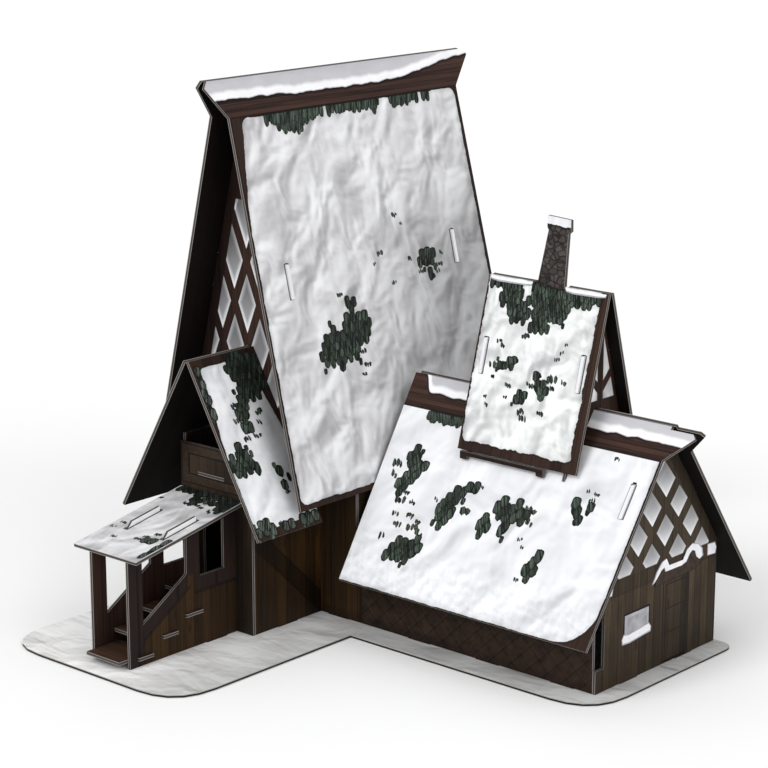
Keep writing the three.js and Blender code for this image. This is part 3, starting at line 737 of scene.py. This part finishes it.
def shingle_patch(drawing, blobs, seed, tile=(5, 7.2), row=4.3, ink=SHINGLE):
    """Rows of shingles wherever the ellipses (a, b, radius a, radius b) lie, and a few strays."""
    rng = random.Random(seed)
    slope = drawing.card.slope
    low_a = min(blob[0] - blob[2] for blob in blobs)
    high_a = max(blob[0] + blob[2] for blob in blobs)
    low_b = min(blob[1] - blob[3] for blob in blobs)
    high_b = max(blob[1] + blob[3] for blob in blobs)
    patch_ground(drawing, blobs, rng)
    for number in range(int((high_b - low_b) * slope / row) + 2):
        b = low_b + number * row / slope
        shift = tile[0] / 2 * (number % 2)
        for i in range(int((high_a - low_a) / tile[0]) + 2):
            a = low_a + shift + i * tile[0] + rng.uniform(-0.5, 0.5)
            place = b + rng.uniform(-0.5, 0.5)
            reach = min(((a - ca) / ra) ** 2 + ((place - cb) / rb) ** 2 for ca, cb, ra, rb in blobs)
            stray = rng.random() < 0.2 and 1.3 < reach < 2.2
            if reach > 1 + rng.uniform(-RAGGED, RAGGED) and not stray:
                continue
            share = 0.55 if stray else 1
            width = tile[0] * share * rng.uniform(0.86, 1.12)
            height = tile[1] * share * rng.uniform(0.85, 1.2)
            outline = tile_outline(a, place + height * 0.5 / slope, width, height, slope, rng, 0.2)
            top_ink = SHINGLE_DARK if ink is SHINGLE and rng.random() < 0.4 else ink
            drawing.rimmed(outline, 0.82, SHINGLE_GAP, top_ink, 1 + 2 * (number % PATCH_LAYERS))


def shingle_patches(drawing, patches, seed, **style):
    """Several patches of one style, each with the next seed."""
    for number, blobs in enumerate(patches):
        shingle_patch(drawing, blobs, seed + number, **style)


def slivers(drawing, marks, seed):
    """Small dark slits where the tips of covered shingles show. Each mark is (a, b, size)."""
    rng = random.Random(seed)
    slope = drawing.card.slope
    for a, b, size in marks:
        for i in range(rng.choice((2, 3, 3))):
            left = a + (i - 1) * size * 0.62 + rng.uniform(-0.2, 0.2)
            width = size * rng.uniform(0.2, 0.42)
            tall = size * rng.uniform(0.7, 1.25) / slope
            lean = rng.uniform(-0.25, 0.25) * size
            base = b + rng.uniform(-0.25, 0.25) * size
            outline = [(left + width * w + lean * l, base + tall * t) for w, l, t in SLIVER]
            drawing.shape(outline, SHINGLE, 1)


def hanging_fringe(drawing, start, end, top, depth_at, seed):
    """Shingles that hang under a ridge board, as deep as depth_at says along the way."""
    rng = random.Random(seed)
    slope = drawing.card.slope
    for number in range(FRINGE_ROWS - 1, -1, -1):
        down = number * FRINGE_ROW
        for i in range(int((end - start) / FRINGE_WIDTH) + 1):
            a = start + (i + 0.5 * (number % 2)) * FRINGE_WIDTH + rng.uniform(-0.5, 0.5)
            if down > depth_at(a) - 2 + rng.uniform(-1.6, 1.6) or a > end or a < start:
                continue
            height = 5.6 * rng.uniform(0.8, 1.3)
            upper = min(top, top - (down - 3) / slope)
            outline = tile_outline(a, upper, FRINGE_WIDTH * 1.08, height, slope, rng)
            drawing.rimmed(outline, 0.88, SHINGLE_GAP, SHINGLE, 1 + 2 * (FRINGE_ROWS - 1 - number))


# --- roofs ---
def hall_cap_edge(a):
    """The snow on the hall's ridge board thins out towards the rear."""
    return 305.5 + a.step(90, 176) * 9.5 - a.step(-20, 30) * 1.5


def wing_cap_edge(a):
    """The snow on the wing's ridge board starts short of the left end."""
    return 132.5 + a.step(-12, -21) * 9.5


def hall_fade(a, s):
    """Painted shade: the hall's snow is greyer towards the rear, most of all low down."""
    return a.step(35, 125) * s.step(265, 195) * 0.4 + a.step(60, 165) * 0.08


def tower_fade(a, s):
    """Painted shadow of the hall: the tower's snow is greyer near the hall's gable."""
    return a.step(-44, -17) * 0.4


def draw_hall_roof(card, seed):
    drawing = Drawing(card)
    places = [-11, -7, 8, 17, 28, 38, 50, 60, 70, 76, 81, 87, 93, 101, 108, 120, 133]
    depths = [2, 6, 14, 14, 6, 2, 4, 7, 2, 3, 11, 1, 2, 9, 3, 3, 1]
    hanging_fringe(drawing, -12, 134, HALL_BOARD, lambda a: np.interp(a, places, depths), seed)
    for more, blobs in (
            (1, [(18, 161.5, 15.5, 10.5), (35, 170.5, 10.5, 9), (27, 166, 8, 8)]), (4, [(33, 184, 5, 3)]),
            (2, [(103.5, 199.5, 8.5, 5.5)]), (5, [(106, 189, 3.6, 2.5)])):
        shingle_patch(drawing, blobs, seed + more)
    slivers(drawing, [
        (82, 228, 2.4), (87, 222, 2), (64, 208, 2.8), (59, 203, 2), (72, 190, 2.2), (25, 190, 2.4),
        (90, 202, 3), (118, 201, 2.2), (114, 195, 3), (113, 191, 3), (97, 193, 2.4), (36, 157, 3),
        (38, 149, 3), (34, 144, 2)], seed + 3)
    drawing.finish()


def dress_hall_roof():
    # The hall's snow gets painted shade towards the rear.
    white = {"tones": GREY_SNOW, "size": 21, "fine": 0.06, "fade": hall_fade}
    for card, seed in both_sides("hall_roof_{}", (1, 0, 0.2), 1):
        outer = roof_print(
            card, seed, (-34.6, 83.5, 160.5, 294.5), radius=5, lean=-0.028, board=HALL_BOARD,
            pinch=(232, 300, 7.5, 0), cap=(hall_cap_edge, 4), wave=1.3, white=white,
            slots=[(-13, 194, 213), (130, 194, 213)])
        card_ink(card, outer, underside, seed=seed)
        draw_hall_roof(card, 10 * seed)


def dress_tower_roof():
    for card, seed in both_sides("tower_roof_{}", (1, 0, 0.5), 3):
        # The tower's snow gets painted shadow of the hall near its rear.
        outer = roof_print(
            card, seed, (-64.8, 73.5, -15, 158), radius=3, pinch=(104, 156, 5, 7.5),
            wave=1, white={"fade": tower_fade})
        card_ink(card, outer, underside, seed=seed)
        drawing = Drawing(card)
        base = 10 * seed
        # The top rear patch is shingles in the darkest ink, made larger: partly painted shadow of the hall
        # roof.
        shingle_patch(
            drawing, [(-29, 155, 13, 7), (-24, 146, 8, 8), (-33, 143, 7, 8)], base, ink=SHINGLE_DARK)
        shingle_patches(drawing, [
            [(-40, 133, 5, 6), (-43, 124, 4, 4)],
            [(-60, 106, 4, 6), (-54, 110, 5, 6), (-49, 106, 4, 4)],
            [(-31, 99, 3, 4), (-26, 95, 2, 3), (-31, 92, 2, 4)]], base + 1)
        shingle_patches(drawing, [
            [(-56, 73, 9, 4), (-41, 73, 6, 2.4), (-24, 74, 9, 2.4)],
            [(-63, 145, 1.6, 14)]], base + 4, ink=SHINGLE_PALE)
        slivers(drawing, [
            (-37, 150, 4), (-45, 136, 3), (-29, 130, 3), (-31, 125, 3), (-37, 119, 3), (-45, 119, 3),
            (-47, 128, 3), (-31, 88, 2), (-22, 72, 3.5), (-44, 74, 3), (-27, 71, 3)], base + 6)
        drawing.finish()


def draw_wing_roof(card, seed):
    drawing = Drawing(card)
    shingle_patches(drawing, [
        [(-5, 100, 5, 6), (0, 95, 6, 6), (-4, 88, 5, 5)],
        [(13, 56, 10, 6), (19, 58, 7, 6), (4, 52, 3, 3)],
        [(31, 78, 5, 6), (35, 87, 5, 4), (42, 92, 6, 2.5)],
        [(60, 78, 5, 5), (69, 86, 7, 5), (78, 86, 8, 5), (74, 79, 4, 5)],
        [(101, 64, 5, 5), (103, 69, 3, 3)],
        [(114, 95, 3.5, 4.5), (117, 89, 2.5, 2.5), (122, 95, 2, 3)]], seed)
    for start, end, depth, more in ((-8, 18, 7, 6), (119, 127, 1.5, 7), (108, 116, 1.2, 9)):
        hanging_fringe(drawing, start, end, WING_BOARD, lambda a, depth=depth: depth, seed + more)
    slivers(drawing, [
        (-14, 96, 4), (-12, 90, 4), (-2, 79, 4), (7, 79, 2.6), (-1, 72, 2.6), (9, 73, 3), (3, 67, 3.4),
        (14, 67, 4.4), (17, 71, 3), (-3, 61, 4), (22, 65, 3), (0, 83, 2.6), (46, 81, 5), (86, 89, 4),
        (90, 83, 3.4), (118, 104, 2), (123, 103, 2), (122, 100, 2.4), (87, 75, 2), (91, 72, 2),
        (102, 72, 2), (127, 121, 2), (23, 83, 3), (50, 94, 2), (95, 57, 2)], seed + 8)
    drawing.finish()


def dress_wing_roof():
    for card, seed in both_sides("wing_roof_{}", (0, -1, 0.7), 5):
        crusty = (66 * card.slope, 42 * card.slope)
        outer = roof_print(
            card, seed, (-70, 35.4, 153, 170), radius=22, board=WING_BOARD,
            cap=(wing_cap_edge, 4.5), wave=0.9, slots=[(143.4, 95.5, 111.3)],
            white={"size": 26, "fine": 0.05, "depth": 0.8, "crusty": crusty})
        card_ink(card, outer, underside, seed=seed)
        draw_wing_roof(card, 10 * seed)


def draw_dormer_roof(card, seed):
    drawing = Drawing(card)
    small = (3.9, 5.2)
    for blobs, tile, row in (
            ([(33, 203, 6, 3), (43, 198, 8, 8), (50, 190, 8, 7), (66, 198, 10, 8), (66, 186, 7, 7),
              (79, 199, 9, 7), (77, 191, 6, 6), (92, 202, 11, 4)], (3.9, 6.4), 3.5),
            ([(46, 159.5, 4, 3), (51, 161, 4, 3), (54.5, 163.5, 2.5, 2)], small, 3.4),
            ([(74, 152, 5.2, 5), (71, 158, 3.5, 2.5)], (4.4, 5.6), 3.6),
            ([(61, 143.5, 3.6, 3.6), (64, 146, 2, 1.8)], small, 3.4)):
        shingle_patch(drawing, blobs, seed, tile, row)
        seed += 1
    slivers(drawing, [
        (40, 158, 4.4), (41, 153, 2.4), (81, 157, 4), (67, 152, 3), (90, 157, 3), (58, 177, 3),
        (41, 172, 2.2), (44, 170, 2.2), (87, 177, 2), (85, 172, 2), (82, 168, 2), (52, 150, 2.4),
        (52, 143, 2), (38, 141, 2), (40, 137, 2.4), (64, 137, 2.8), (66, 134, 3), (77, 138, 2.6),
        (83, 152, 2.6)], seed)
    # Rolls of snow lie along the ridge, each side of the chimney.
    top = DORMER_TOP - 0.3
    for start, end in ((26.5, 56.5), (79, 107)):
        roll = [(start, top), (start + 1, top - 2.2), (start + 6, top - 2.9), (end - 5, top - 2.6),
                (end - 0.5, top - 2), (end, top)]
        drawing.shape(roll, SNOW_SHADE, 18)
        drawing.shape([(a, top - (top - b) * 0.7) for a, b in roll], SNOW_INK, 19)
    drawing.finish()


def dress_dormer_roof():
    white = {"tones": SOFT_SNOW, "size": 16, "fine": 0.12}
    for card, seed in both_sides("dormer_roof_{}", (0, -1, 0.3), 7):
        outer = roof_print(
            card, seed, (26.4, 116.2, 102.8, 212), radius=4, wave=2.7, white=white,
            slots=[(31.5, 153.4, 172.6), (99.5, 153.4, 172.6)])
        card_ink(card, outer, underside, seed=seed)
        draw_dormer_roof(card, 10 * seed)


def dress_porch_roof():
    card = Card("porch_roof", (0, 0, 1))
    walls = [wall for wall, _ in both_sides("porch_{}_wall", (1, 0, 0))]
    middles = [wall.normal.x * (wall.offset - CARD / 2) for wall in walls]

    def outer(ink, a, s):
        colour = snow(ink, a, s, 11, tones=GREY_SNOW)
        # Painted shade: a dark line round each slot, for the gap round the tab.
        for middle in middles:
            beside = abs(a - middle).step(SLOT_LINE, SLOT_LINE - 0.3)
            along = s.inside(-101 * card.slope, -73 * card.slope)
            colour = ink.darken(colour, beside * along, SLOT_SHADE)
        return colour, s * 0
    card_ink(card, outer, underside, seed=9)
    drawing = Drawing(card)
    # The big rear patch is in the darkest ink: shingles with painted shade by the tower.
    for seed, ink, blobs in (
            (91, SHINGLE_DARK, [(-86, -44, 24, 8), (-104, -47, 7, 4), (-67, -50, 7, 11)]),
            (92, SHINGLE, [(-88, -55, 5, 3.4), (-79, -54, 4, 3)]),
            (93, SHINGLE_PALE, [(-64, -110, 2.6, 13)]), (95, SHINGLE_PALE, [(-76, -105, 4, 4)])):
        shingle_patch(drawing, blobs, seed, ink=ink)
    slivers(drawing, [
        (-84, -60, 3), (-78, -61, 3), (-91, -61, 3), (-82, -106, 3.4), (-80, -102, 2.6),
        (-76, -97, 2.6), (-106, -95, 3), (-108, -101, 2.4), (-98, -110, 2.4), (-70, -63, 3),
        (-112, -62, 3)], 94)
    drawing.finish()


# --- walls ---
def dress_front_wall():
    seam = -24        # where the hall's oak meets the wing's slate, mm
    slate = (24, 17, 12), (64, 48, 37)

    def hatched(ink, a, s):
        """Slate with crossed lines, dark on one side and light on the other."""
        rising = ink.math("FRACT", (a + s * 1.05) / 12.5 + 40)
        falling = ink.math("FRACT", (a - s * 1.05) / 12.5 + 40)
        lines = rising.inside(0.44, 0.56, 0.04) + falling.inside(0.44, 0.56, 0.04)
        lights = rising.inside(0.58, 0.66, 0.04) + falling.inside(0.34, 0.42, 0.04)
        weave = ink.noise(a / 7, s / 7, 4, 5, 0.65)
        colour = ink.darken(ink.ramp(weave, *zip((0.25, 0.8), slate)), lines, 0.32)
        return ink.shade(colour, lights * 0.16 + 1)

    def outer(ink, a, s):
        oak, grain = wood(ink, s, a, 9, OAK, 3)
        # Painted shade: the oak gets darker towards the top of the wall.
        oak = ink.shade(oak, s.step(92, 30) * 0.6 + 0.4)
        colour = ink.mix(a.step(seam - 0.4, seam + 0.4), oak, hatched(ink, a, s))
        colour = ink.darken(colour, a.inside(seam - 1.6, seam + 0.6, 0.6), 0.5)
        foot = ink.noise(a / 12, 1, 5, 3, 0.6) * 4 + 2
        return ink.shade(colour, (s - foot).step(0, 5) * 0.35 + 0.65), grain
    card_ink(Card("hall_and_wing_front_wall", (0, -1, 0)), outer, seed=3)


def dress_tower_sides():
    def brace(ink, a, s, colour):
        rake = (s - 54) + (a + 35.5) * 0.96
        colour = beam_band(ink, colour, rake * 0.72, 4.6, 0.5)
        # Painted shade: the planks get darker towards the top, under the roof.
        colour = ink.darken(colour, s.step(40, 78), 0.6)
        # The planks are also darker low down at the rear end.
        return ink.darken(colour, a.step(-3, 12) * s.step(34, 8), 0.6)
    for card, _ in both_sides("tower_{}_wall", (1, 0, 0)):
        card_ink(card, plank_print(8, OAK, 5, extra=brace), seed=5, gloss=0.42)
    card_ink(Card("tower_floor", (0, 0, 1)), plank_print(9, PORCH, 8))


def dress_tower_front():
    card = Card("tower_front_wall", (0, -1, 0))

    def header(ink, a, s, colour):
        # Painted shade: the wall is darker below the header, under the porch roof.
        return ink.darken(colour, s.step(80, 70), 0.45)
    card_ink(card, plank_print(7, HEADER, 7, extra=header), seed=7)
    drawing = Drawing(card, "tower_front_trim")
    left, right, high = HALL_X - HEADER_HALF, HALL_X + HEADER_HALF, TOWER_TOP - 0.4
    for layer, (inset, width, ink) in enumerate((
            (0, 0.7, LINE_INK), (0.7, 4.4, FRAME_INK), (5.6, 0.7, LINE_INK))):
        box = (left + inset, HEADER_LOW + inset, right - inset, high - inset)
        drawing.ring(box, width, ink, layer)
    drawing.finish()


def porch_tab(a, s):
    """1 on the part of a porch wall that stands out above the porch roof."""
    above_roof = s - 65.5 - (a + 127) * 0.185
    return above_roof.step(-0.1, 0.1) * a.inside(-100, -74, 0.1)


def porch_posts(ink, a, s, colour, seed):
    """The porch wall's dark posts, its stair rail and the sill under its window."""
    front_edge = -116.5         # where the front post ends and the rail starts, mm
    post = wood(ink, s, a, 30, POST, seed, knots=False)[0]
    front = a.step(-116.2, -116.8)
    middle = a.inside(-82.6, -73.4, 0.3) * s.step(44, 45.5)
    below_rail = s - (25 + (a - front_edge) * 0.62)
    rail = below_rail.inside(-8.5, 0, 0.3) * a.inside(front_edge, -82, 0.3)
    sill = s.inside(34.5, 42.4, 0.4) * a.step(-76, -75)
    rear = a.step(-53, -52.4) * s.step(44, 46)
    share = front
    for part in (middle, rail, sill, rear):
        share = ink.math("MAXIMUM", share, part)
    colour = ink.mix(share, colour, post)
    shadow = below_rail.inside(-10.5, -8.2, 0.6) * a.inside(front_edge, -80, 0.3)
    shadow = shadow + s.inside(32.6, 34.6, 0.6) * a.step(-78, -76)
    colour = ink.darken(colour, shadow, 0.55)
    edge = a.inside(-116.9, -115.9, 0.2)
    return ink.darken(colour, edge * s.step(24, 20), 0.5)


def dress_porch():
    for card, seed in both_sides("porch_{}_wall", (1, 0, 0), 12):
        def posts(ink, a, s, colour, seed=seed):
            colour = porch_posts(ink, a, s, colour, seed)
            return ink.mix(porch_tab(a, s), colour, SNOW_BRIGHT)

        def inner(ink, a, s, seed):
            return ink.mix(porch_tab(a, s), plank_back(ink, a, s, seed), SNOW_BRIGHT)
        card_ink(card, plank_print(6.5, OAK, seed, extra=posts), inner, seed=seed)
    for number in range(1, 5):
        card = Card(f"stair_tread_{number}", (0, 0, 1))
        card_ink(card, plank_print(6, TREAD, 14 + number, level=True))


def hall_frame(a, s):
    """How far a place is inside the timber that follows the hall roof's slopes."""
    return (HALL_TOP - s) * 0.2371 + 2.76 - 9 - abs(a - HALL_X)


def rear_boards(ink, a, s):
    """Planks with two beams across, under the lattice of the rear gable."""
    colour = wood(ink, s, a, 9, OAK, 26)[0]
    colour = beam_band(ink, colour, s - 84, 4.5, 0.6)
    return beam_band(ink, colour, s - 12, 3, 0.7)


def dress_hall_gables():
    for node, way, seed, low, below in (
            ("hall_front_gable", -1, 21, 96, None), ("hall_rear_gable", 1, 25, 92, rear_boards)):
        outer = lattice_print(
            (-96.7, 211), (10, 24.5), 0.3, HALL_LATTICE, seed, low, 246, hall_frame, below)
        card_ink(Card(node, (0, way, 0)), outer, seed=seed, roof=HALL_SLOPE)


def wing_frame(a, s):
    """How far a place is inside the timber that follows the wing roof's slopes."""
    return (WING_TOP - s) * 0.71536 - 4.5 - abs(a - (WING_Y - 3.5))


def wing_boards(ink, a, s):
    """Weathered planks with posts, a beam across and a darker door."""
    colour = wood(ink, s, a, 6.5, GREY_OAK, 23)[0]
    broad = ink.noise(a / 20, s / 30, 23, 3, 0.6)
    colour = ink.shade(colour, broad * 1.3 + 0.35)
    colour = ink.shade(colour, 0.95 - s.step(60, 16) * 0.3)
    door = a.inside(74, 98.6, 0.3) * s.inside(2, 50, 0.3)
    colour = ink.darken(colour, door, 0.25)
    for distance, half, tone in (
            (s - 57, 4, 0.75), (a - 68, 2.6, 0.7), (a - 16.5, 3, 0.7), (a - 121, 3.4, 0.8)):
        colour = beam_band(ink, colour, distance, half, tone, 0.25)
    return colour


def dress_wing_gable():
    card = Card("wing_gable", (1, 0, 0))
    outer = lattice_print(
        (74, 107.5), (12.3, 14), 0.34, WING_LATTICE, 22, 62, 119, wing_frame, wing_boards,
        glow=(0.4, 0.5, 0.08), open_from=-0.32)
    card_ink(card, outer, seed=22, roof=WING_SLOPE)
    drawing = Drawing(card, "wing_gable_trim")
    draw_door(drawing)
    draw_window(drawing, 38.4, 24.6, 60.4, 39.4)
    # Snow lies on the beam at both ends of the wall.
    for left, right in ((13.6, 27), (115.6, 124.6)):
        pad = [(left, 54.6), (right - 1, 54), (right, 57.6), (right - 1.6, 61), (left, 61.4)]
        drawing.rimmed(pad, 0.88, SNOW_SHADE, SNOW_INK, 4)
    drawing.finish()


def draw_door(drawing):
    """The door's lines, and a lintel beam that carries a drift of snow."""
    drawing.ring((73.6, 2.6, 98.6, 50), 0.6, LINE_INK, 1)
    drawing.ring((76.2, 2.6, 96, 47.6), 0.5, LINE_INK, 1)
    for rung in (19, 33):
        drawing.box(77, rung, 95.4, rung + 0.6, LINE_INK, 1)
    beam = [
        (65.5, 48.6), (104, 49.6), (111.5, 53.6), (108.5, 58), (101, 56.6), (97.5, 61),
        (92.5, 57.6), (74, 57.2), (72, 60.4), (64.5, 54.6)]
    drawing.rimmed(beam, 0.95, LINE_INK, BEAM_INK, 2)
    drift = [
        (62.6, 50.4), (66.4, 53.2), (70.4, 57), (73.6, 58.2), (75, 55.3), (90.5, 55.1), (95.2, 56.2),
        (98.4, 60.2), (101.2, 61.8), (104.2, 60.6), (105.6, 56.8), (108.8, 54.6), (111.6, 56),
        (110.6, 60.4), (107, 64), (101, 65.6), (96, 63.4), (92, 58), (78, 58.2),
        (75.4, 62.8), (71.6, 61.8), (66.6, 57)]
    drawing.rimmed(drift, 0.95, SNOW_SHADE, SNOW_INK, 4)


def draw_window(drawing, left, low, right, high):
    """A printed window: a pale pane, a dark frame and a sill deep in snow."""
    drawing.shape([(left - 1.2, low - 0.6), (right + 1, low - 0.6), (right + 1.2, high + 1.2),
                   (left - 0.8, high + 1.2)], LINE_INK, 1)
    drawing.box(left, low, right, high, SNOW_SHADE, 2)
    drawing.box(left + 1.4, low, right - 1.4, high - 1.6, GLASS_INK, 3)
    # The corners of the snow and of its bright top, from the window's lower left corner.
    heap = [(-2, -1.4), (5, -1.8), (18, -0.6), (24, -0.2), (24.6, 2.6), (22.4, 5.4), (17, 4.8), (4, 3.6),
            (-0.6, 4.6), (-2.6, 1.8)]
    crest = [(-1.4, -0.6), (5, -1), (18, 0.2), (23.6, 0.6), (24, 2.6), (22.2, 4.8), (17, 4.2), (4, 3),
             (-0.6, 3.8), (-2, 1.6)]
    for outline, ink, layer in ((heap, SNOW_SHADE, 4), (crest, SNOW_INK, 5)):
        drawing.shape([(left + a, low + b) for a, b in outline], ink, layer)


def dress_dormer_gables():
    """Timber with a post and two braces that rise from it, and pale panes between them."""
    def braced(ink, a, s):
        timber, grain = wood(ink, s, a, 9, BARK, 24, knots=False)
        off_post = abs(a - 71)
        post = off_post.step(2.8, 2.4)
        off_brace = abs(s - 150.5 - off_post * 1.05)
        bars = ink.math("MAXIMUM", post, off_brace.step(3.4, 3))
        inside = ((DORMER_TOP - s) * 0.2799 - 2.4 - abs(a - WING_Y)).step(-0.2, 0.2)
        inside = inside * s.inside(146, 190, 0.3) * (1 - bars)
        light = ink.noise(a / 9, s / 16, 24, 2, 0.5) + off_post.step(1, 6) * 0.25
        pane = ink.ramp(light, (0.3, (128, 128, 130)), (0.85, (226, 226, 228)))
        return ink.mix(inside, timber, pane), grain
    for card, _ in both_sides("dormer_gable_{}", (1, 0, 0)):
        card_ink(card, braced, seed=24, roof=DORMER_SLOPE)


def dress_plain_walls():
    def beams(ink, a, s, colour):
        colour = beam_band(ink, colour, s - 78, 4, 0.6)
        return beam_band(ink, colour, s - 8, 3.4, 0.7)
    for node, outward, seed in (
            ("hall_left_wall", (-1, 0, 0), 31), ("hall_right_wall", (1, 0, 0), 32),
            ("wing_back_wall", (0, 1, 0), 33)):
        card_ink(Card(node, outward), plank_print(8.5, OAK, seed, extra=beams), seed=seed)


def dress_floor_and_sills():
    card_ink(Card("hall_loft_floor", (0, 0, 1)), plank_print(12, PORCH, 41))
    for card, _ in both_sides("dormer_sill_{}", (0, -1, 0)):
        card_ink(card, plank_print(4, PORCH, 42, level=True))


def dress_chimney():
    def stones(ink, a, s):
        wobble = (ink.noise(a / 4, s / 4, 5, 2, 0.5) - 0.5) * 0.7
        across = a / 4.6 + wobble
        rise = s / 3.1 + wobble
        joint = ink.cells(across, rise, feature="DISTANCE_TO_EDGE")
        stone = ink.speckle(ink.cells(across, rise, "Color"), 1)
        mortar = joint.step(0.02, 0.16)
        rough = ink.noise(a / 1.5, s / 1.5, 2, 4, 0.6)
        level = stone * 0.3 + rough * 0.5 + mortar * 0.15
        colour = ink.ramp(level, (0.2, (40, 36, 34)), (0.85, (92, 85, 81)))
        colour = ink.shade(colour, mortar * 0.62 + 0.38)
        # Snow caps the top, with a dark line under its wavy edge.
        height = s + (ink.noise(a / 5, 2, 3, 3, 0.6) - 0.5) * 2.4
        colour = ink.darken(colour, height.inside(238.6, 239.8, 0.3), 0.6)
        return ink.mix(height.step(239.8, 240.2), colour, snow(ink, a, s, 44)), mortar

    def rear(ink, a, s, seed):
        return stones(ink, a, s)[0]
    card_ink(Card("chimney", (0, -1, 0)), stones, rear, seed=44)


def dress_base():
    def ground(ink, a, s):
        ridges = ink.noise(a / 30, s / 17, 52, 3, 0.5, 0.4)
        shifted = ink.noise(a / 30 + 0.06, (s - 1.6) / 17, 52, 3, 0.5, 0.4)
        broad = ink.noise(a / 55, s / 40, 51, 2, 0.5) - 0.5
        level = (ridges - shifted) * 2.4 + broad * 1.1 + 0.55
        colour = ink.ramp(level, (0.1, (182, 181, 180)), (0.42, (226, 225, 224)), (0.75, (253, 253, 253)))
        # Painted shade: the base is darker in front of the wing than by the porch.
        return ink.darken(colour, a.step(-70, -15), 0.34), ridges

    def bare(ink, a, s, seed):
        return ink.shade(CORE, 1.2)
    card_ink(Card("base_plate", (0, 0, 1)), ground, bare, seed=51, thickness=BASE_CARD, rim=base_rim)


# --- stage ---
def build_stage():
    floor_mesh = bpy.data.meshes.new("floor")
    shape = bmesh.new()
    corners = [
        shape.verts.new((x * FLOOR_REACH, y * FLOOR_REACH, FLOOR_HEIGHT))
        for x, y in ((-1, -1), (1, -1), (1, 1), (-1, 1))]
    shape.faces.new(corners)
    shape.to_mesh(floor_mesh)
    shape.free()
    floor = add_object("floor", floor_mesh)
    pale = bpy.data.materials.new("pale_floor")
    pale.use_nodes = True
    shader = pale.node_tree.nodes["Principled BSDF"]
    shader.inputs["Base Color"].default_value = (0.97, 0.97, 0.97, 1)
    shader.inputs["Roughness"].default_value = 0.9
    floor_mesh.materials.append(pale)
    floor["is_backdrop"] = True


def add_sun(name, direction, spread, energy):
    """A large soft lamp far away. direction is the way that its light travels."""
    light = bpy.data.lights.new(name, "SUN")
    light.angle = math.radians(spread)
    light.energy = energy
    lamp = add_object(name, light)
    lamp.rotation_euler = Vector(direction).to_track_quat("-Z", "Y").to_euler()


def build_lights():
    world = bpy.data.worlds.new("studio")
    bpy.context.scene.world = world
    world.use_nodes = True
    background = world.node_tree.nodes["Background"]
    background.inputs["Color"].default_value = (1, 1, 1, 1)
    background.inputs["Strength"].default_value = WORLD_LIGHT
    add_sun("key", (0.1, 0.75, -0.66), 26, 1.25)
    add_sun("fill", (-0.85, 0.15, -0.5), 40, 0.85)


def build_camera():
    camera = bpy.data.cameras.new("camera")
    camera.lens = CAMERA_LENS
    camera.sensor_width = CAMERA_SENSOR
    holder = add_object("camera", camera)
    holder.location = CAMERA_PLACE
    holder.rotation_euler = (math.radians(90 - CAMERA_ELEVATION), 0, math.radians(CAMERA_AZIMUTH))
    bpy.context.scene.camera = holder
    bpy.context.scene.view_settings.view_transform = "Standard"


dress_hall_roof()
dress_tower_roof()
dress_wing_roof()
dress_dormer_roof()
dress_porch_roof()
dress_front_wall()
dress_tower_sides()
dress_tower_front()
dress_porch()
dress_hall_gables()
dress_wing_gable()
dress_dormer_gables()
dress_plain_walls()
dress_floor_and_sills()
dress_chimney()
dress_base()
build_stage()
build_lights()
build_camera()

corners = {name: [list(corner) for corner in box]
           for name, box in (("cad", cad_bounds), ("visual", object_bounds()))}
